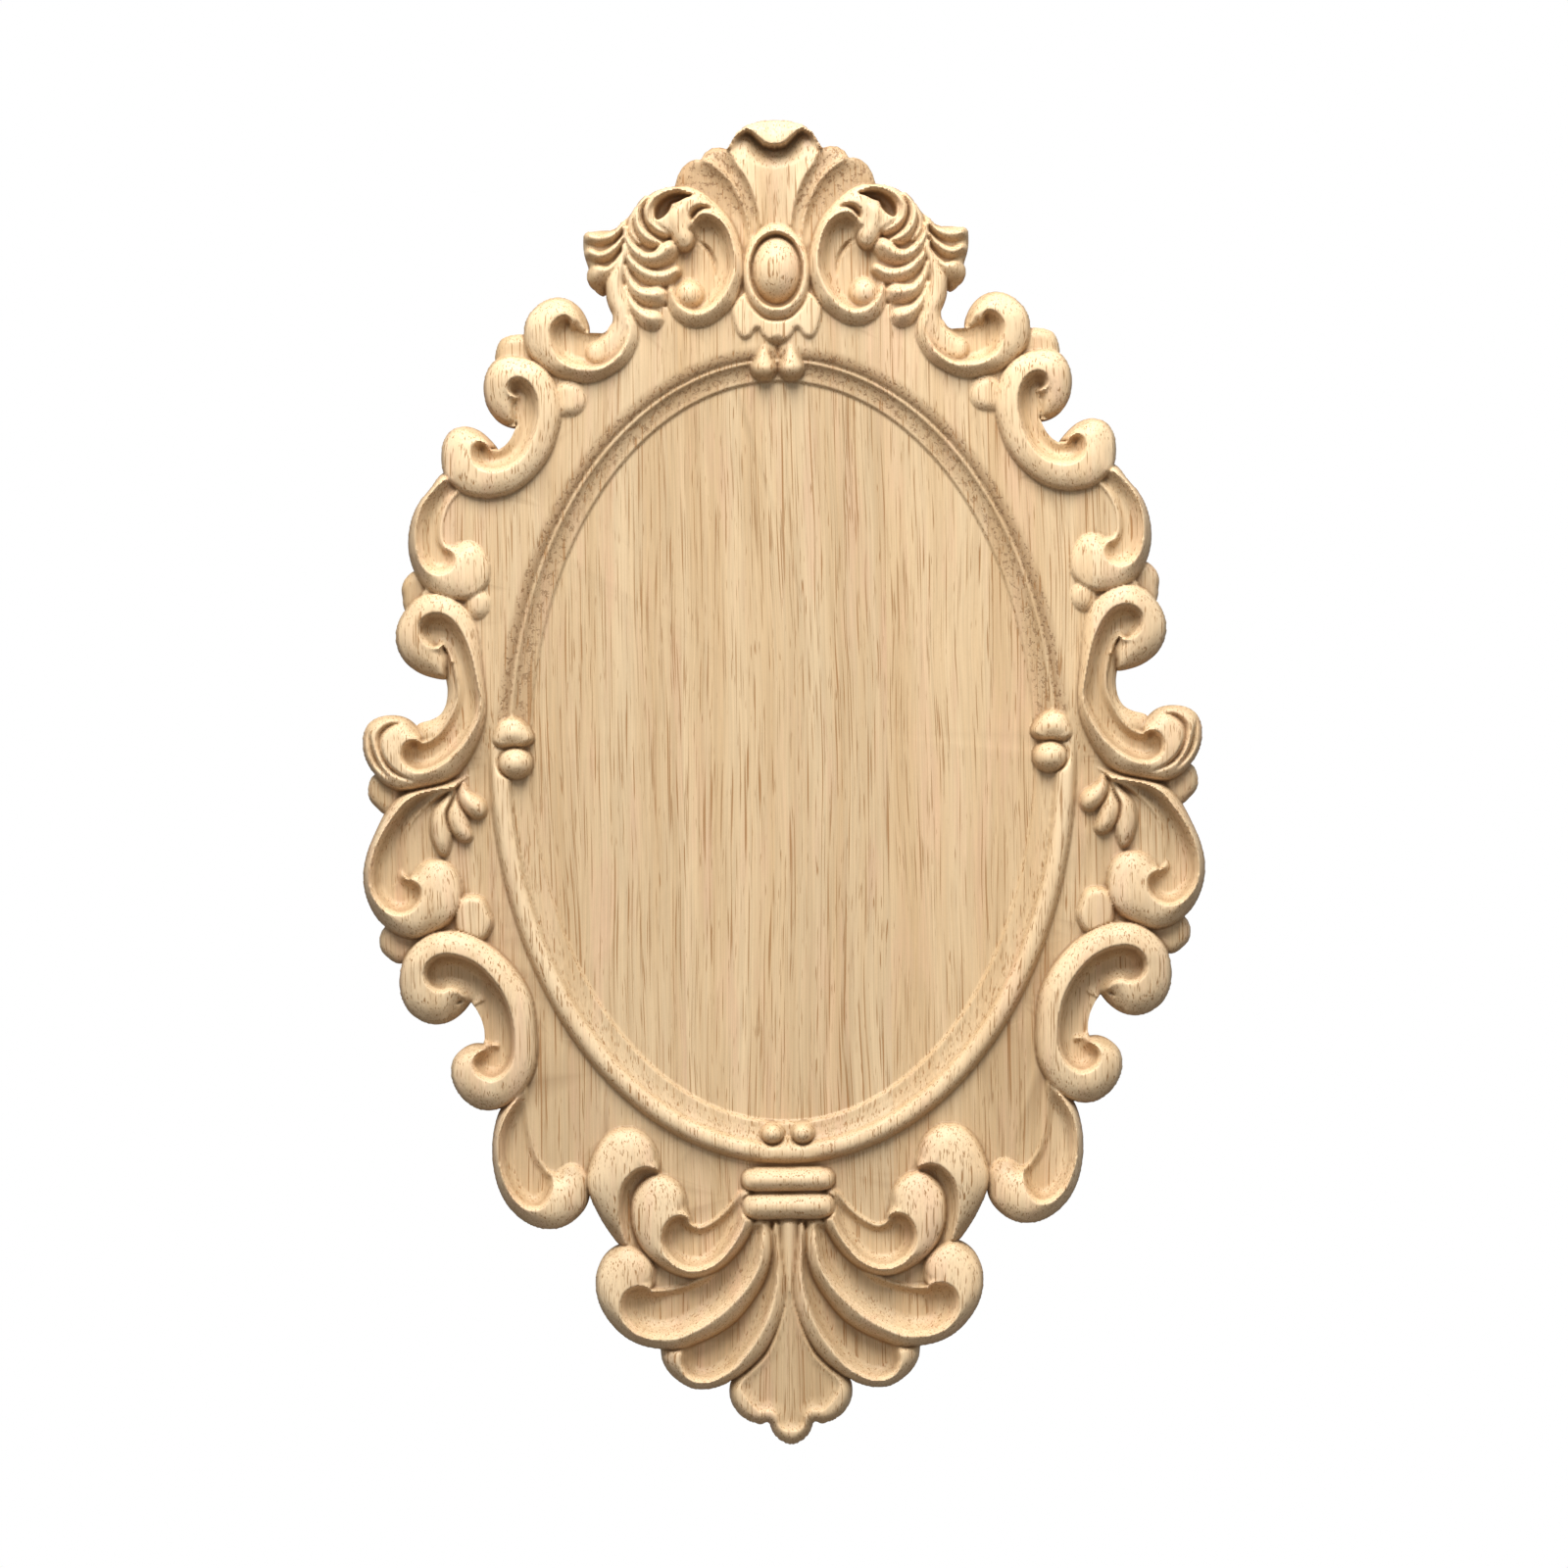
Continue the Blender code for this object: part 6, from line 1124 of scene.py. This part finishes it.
class AppliqueStudio(bpy.types.PropertyGroup):
    """Camera, lights and floor"""

    lens: FloatProperty(name="Lens", description="Focal length in millimetres", default=110.0, min=20.0)
    view_width: FloatProperty(name="View width", description="Width of the view where the panel is",
                              default=0.5685, unit="LENGTH", precision=4)
    tilt: FloatProperty(name="Tilt", description="Lean of the panel's axis to the left in the view",
                        default=math.radians(0.75), subtype="ANGLE", unit="ROTATION")
    floor_drop: FloatProperty(name="Floor drop", description="Height of the panel's foot above the floor",
                              default=2.0, unit="LENGTH")
    floor_size: FloatProperty(name="Floor size", description="Side of the square floor",
                              default=2.0, unit="LENGTH")
    light_distance: FloatProperty(name="Light distance",
                                  description="Distance of the main light from the panel",
                                  default=1.5, unit="LENGTH")
    light_power: FloatProperty(name="Light power", description="Power of the main light",
                               default=37.0, min=0, unit="POWER")
    light_size: FloatProperty(name="Light size", description="Side of the square main light",
                              default=0.8, unit="LENGTH")
    ambient: FloatProperty(name="Ambient", description="Strength of the soft light from all round",
                           default=0.36, min=0)


class APPLIQUE_OT_carved_panel(bpy.types.Operator):
    """Carves the panel and gives it its wood, in place of the plain solid"""

    bl_idname = "applique.carved_panel"
    bl_label = "Carved panel"

    def execute(self, context):
        carving = context.scene.applique_carving
        relief = carve(carving.grid / MM, carving.rounding / MM)
        panel = bpy.data.objects.new("carved_applique", carve_mesh("carved_applique", relief))
        context.scene.collection.objects.link(panel)
        panel.data = thinned(panel, carving.triangles)
        note_crease_shade_and_rough(panel.data, relief)
        panel.data.materials.append(make_wood(context.scene.applique_wood))
        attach(panel, "root")
        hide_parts("carved_panel")
        return {"FINISHED"}


class APPLIQUE_OT_studio(bpy.types.Operator):
    """Sets a pale floor, soft lights and the camera"""

    bl_idname = "applique.studio"
    bl_label = "Studio"

    def execute(self, context):
        studio = context.scene.applique_studio
        lay_floor(studio)
        light_world(context.scene, studio)
        hang_light(studio)
        set_camera(context.scene, studio)
        return {"FINISHED"}


def lay_floor(studio):
    """Square pale floor below the hanging panel."""
    bm = bmesh.new()
    bmesh.ops.create_grid(bm, x_segments=1, y_segments=1, size=studio.floor_size / 2)
    bmesh.ops.translate(bm, verts=bm.verts, vec=(0, 0, LOWEST.z - studio.floor_drop))
    mesh = bpy.data.meshes.new("floor")
    bm.to_mesh(mesh)
    bm.free()
    floor = bpy.data.objects.new("floor", mesh)
    bpy.context.scene.collection.objects.link(floor)
    material = bpy.data.materials.new("pale_floor")
    material.use_nodes = True
    shader = material.node_tree.nodes["Principled BSDF"]
    shader.inputs["Base Color"].default_value = FLOOR_COLOUR
    shader.inputs["Roughness"].default_value = 0.9
    mesh.materials.append(material)


def light_world(scene, studio):
    """White surroundings, which light the panel more softly than they look."""
    world = bpy.data.worlds.new("studio")
    world.use_nodes = True
    nodes, links = world.node_tree.nodes, world.node_tree.links
    background = nodes["Background"]
    background.inputs["Color"].default_value = (1, 1, 1, 1)
    sky = nodes.new("ShaderNodeSeparateXYZ")
    links.new(nodes.new("ShaderNodeTexCoord").outputs["Generated"], sky.inputs[0])
    soft = nodes.new("ShaderNodeMapRange")
    links.new(sky.outputs["Z"], soft.inputs["Value"])
    soft.inputs["From Min"].default_value = -1.0
    soft.inputs["To Min"].default_value = studio.ambient * SKY_BELOW
    soft.inputs["To Max"].default_value = studio.ambient * SKY_ABOVE
    path = nodes.new("ShaderNodeLightPath")
    strength = nodes.new("ShaderNodeMapRange")
    links.new(soft.outputs["Result"], strength.inputs["To Min"])
    links.new(path.outputs["Is Camera Ray"], strength.inputs["Value"])
    links.new(strength.outputs["Result"], background.inputs["Strength"])
    scene.world = world


def hang_light(studio):
    """Large soft light above the front, a little to the left."""
    data = bpy.data.lights.new("key", "AREA")
    data.energy = studio.light_power
    data.size = studio.light_size
    light = bpy.data.objects.new("key", data)
    light.location = LIGHT_SIDE.normalized() * studio.light_distance
    light.rotation_euler = (-LIGHT_SIDE).to_track_quat("-Z", "Y").to_euler()
    bpy.context.scene.collection.objects.link(light)


def set_camera(scene, studio):
    """Camera straight in front, at the middle of the panel's height."""
    data = bpy.data.cameras.new("front")
    data.lens = studio.lens
    camera = bpy.data.objects.new("front", data)
    distance = studio.view_width * data.lens / data.sensor_width
    camera.location = (PICTURE_SHIFT, -GROUND_LOW * MM - distance, 0.0)
    camera.rotation_euler = (math.radians(90), studio.tilt, 0.0)
    scene.collection.objects.link(camera)
    scene.camera = camera
    scene.view_settings.view_transform = "Standard"


class APPLIQUE_PT_sidebar(bpy.types.Panel):
    """Sizes, colours and buttons of the applique"""

    bl_label = "Carved applique"
    bl_space_type = "VIEW_3D"
    bl_region_type = "UI"
    bl_category = "Applique"

    def draw(self, context):
        for operator, group in STEPS:
            box = self.layout.box()
            for name in group:
                settings = getattr(context.scene, name)
                for setting in settings.bl_rna.properties:
                    if setting.identifier not in {"rna_type", "name"}:
                        box.prop(settings, setting.identifier)
            box.operator(operator)


GROUPS = {
    "applique_carving": AppliqueCarving,
    "applique_wood": AppliqueWood,
    "applique_studio": AppliqueStudio,
}
STEPS = (
    ("applique.carved_panel", ("applique_carving", "applique_wood")),
    ("applique.studio", ("applique_studio",)),
)
CLASSES = (*GROUPS.values(), APPLIQUE_OT_carved_panel, APPLIQUE_OT_studio, APPLIQUE_PT_sidebar)


def register():
    for item in CLASSES:
        bpy.utils.register_class(item)
    for name, group in GROUPS.items():
        setattr(bpy.types.Scene, name, PointerProperty(type=group))


def unregister():
    for name in GROUPS:
        delattr(bpy.types.Scene, name)
    for item in reversed(CLASSES):
        bpy.utils.unregister_class(item)


def main():
    register()
    bpy.ops.applique.carved_panel()
    bpy.ops.applique.studio()


if __name__ == "__main__":
    main()
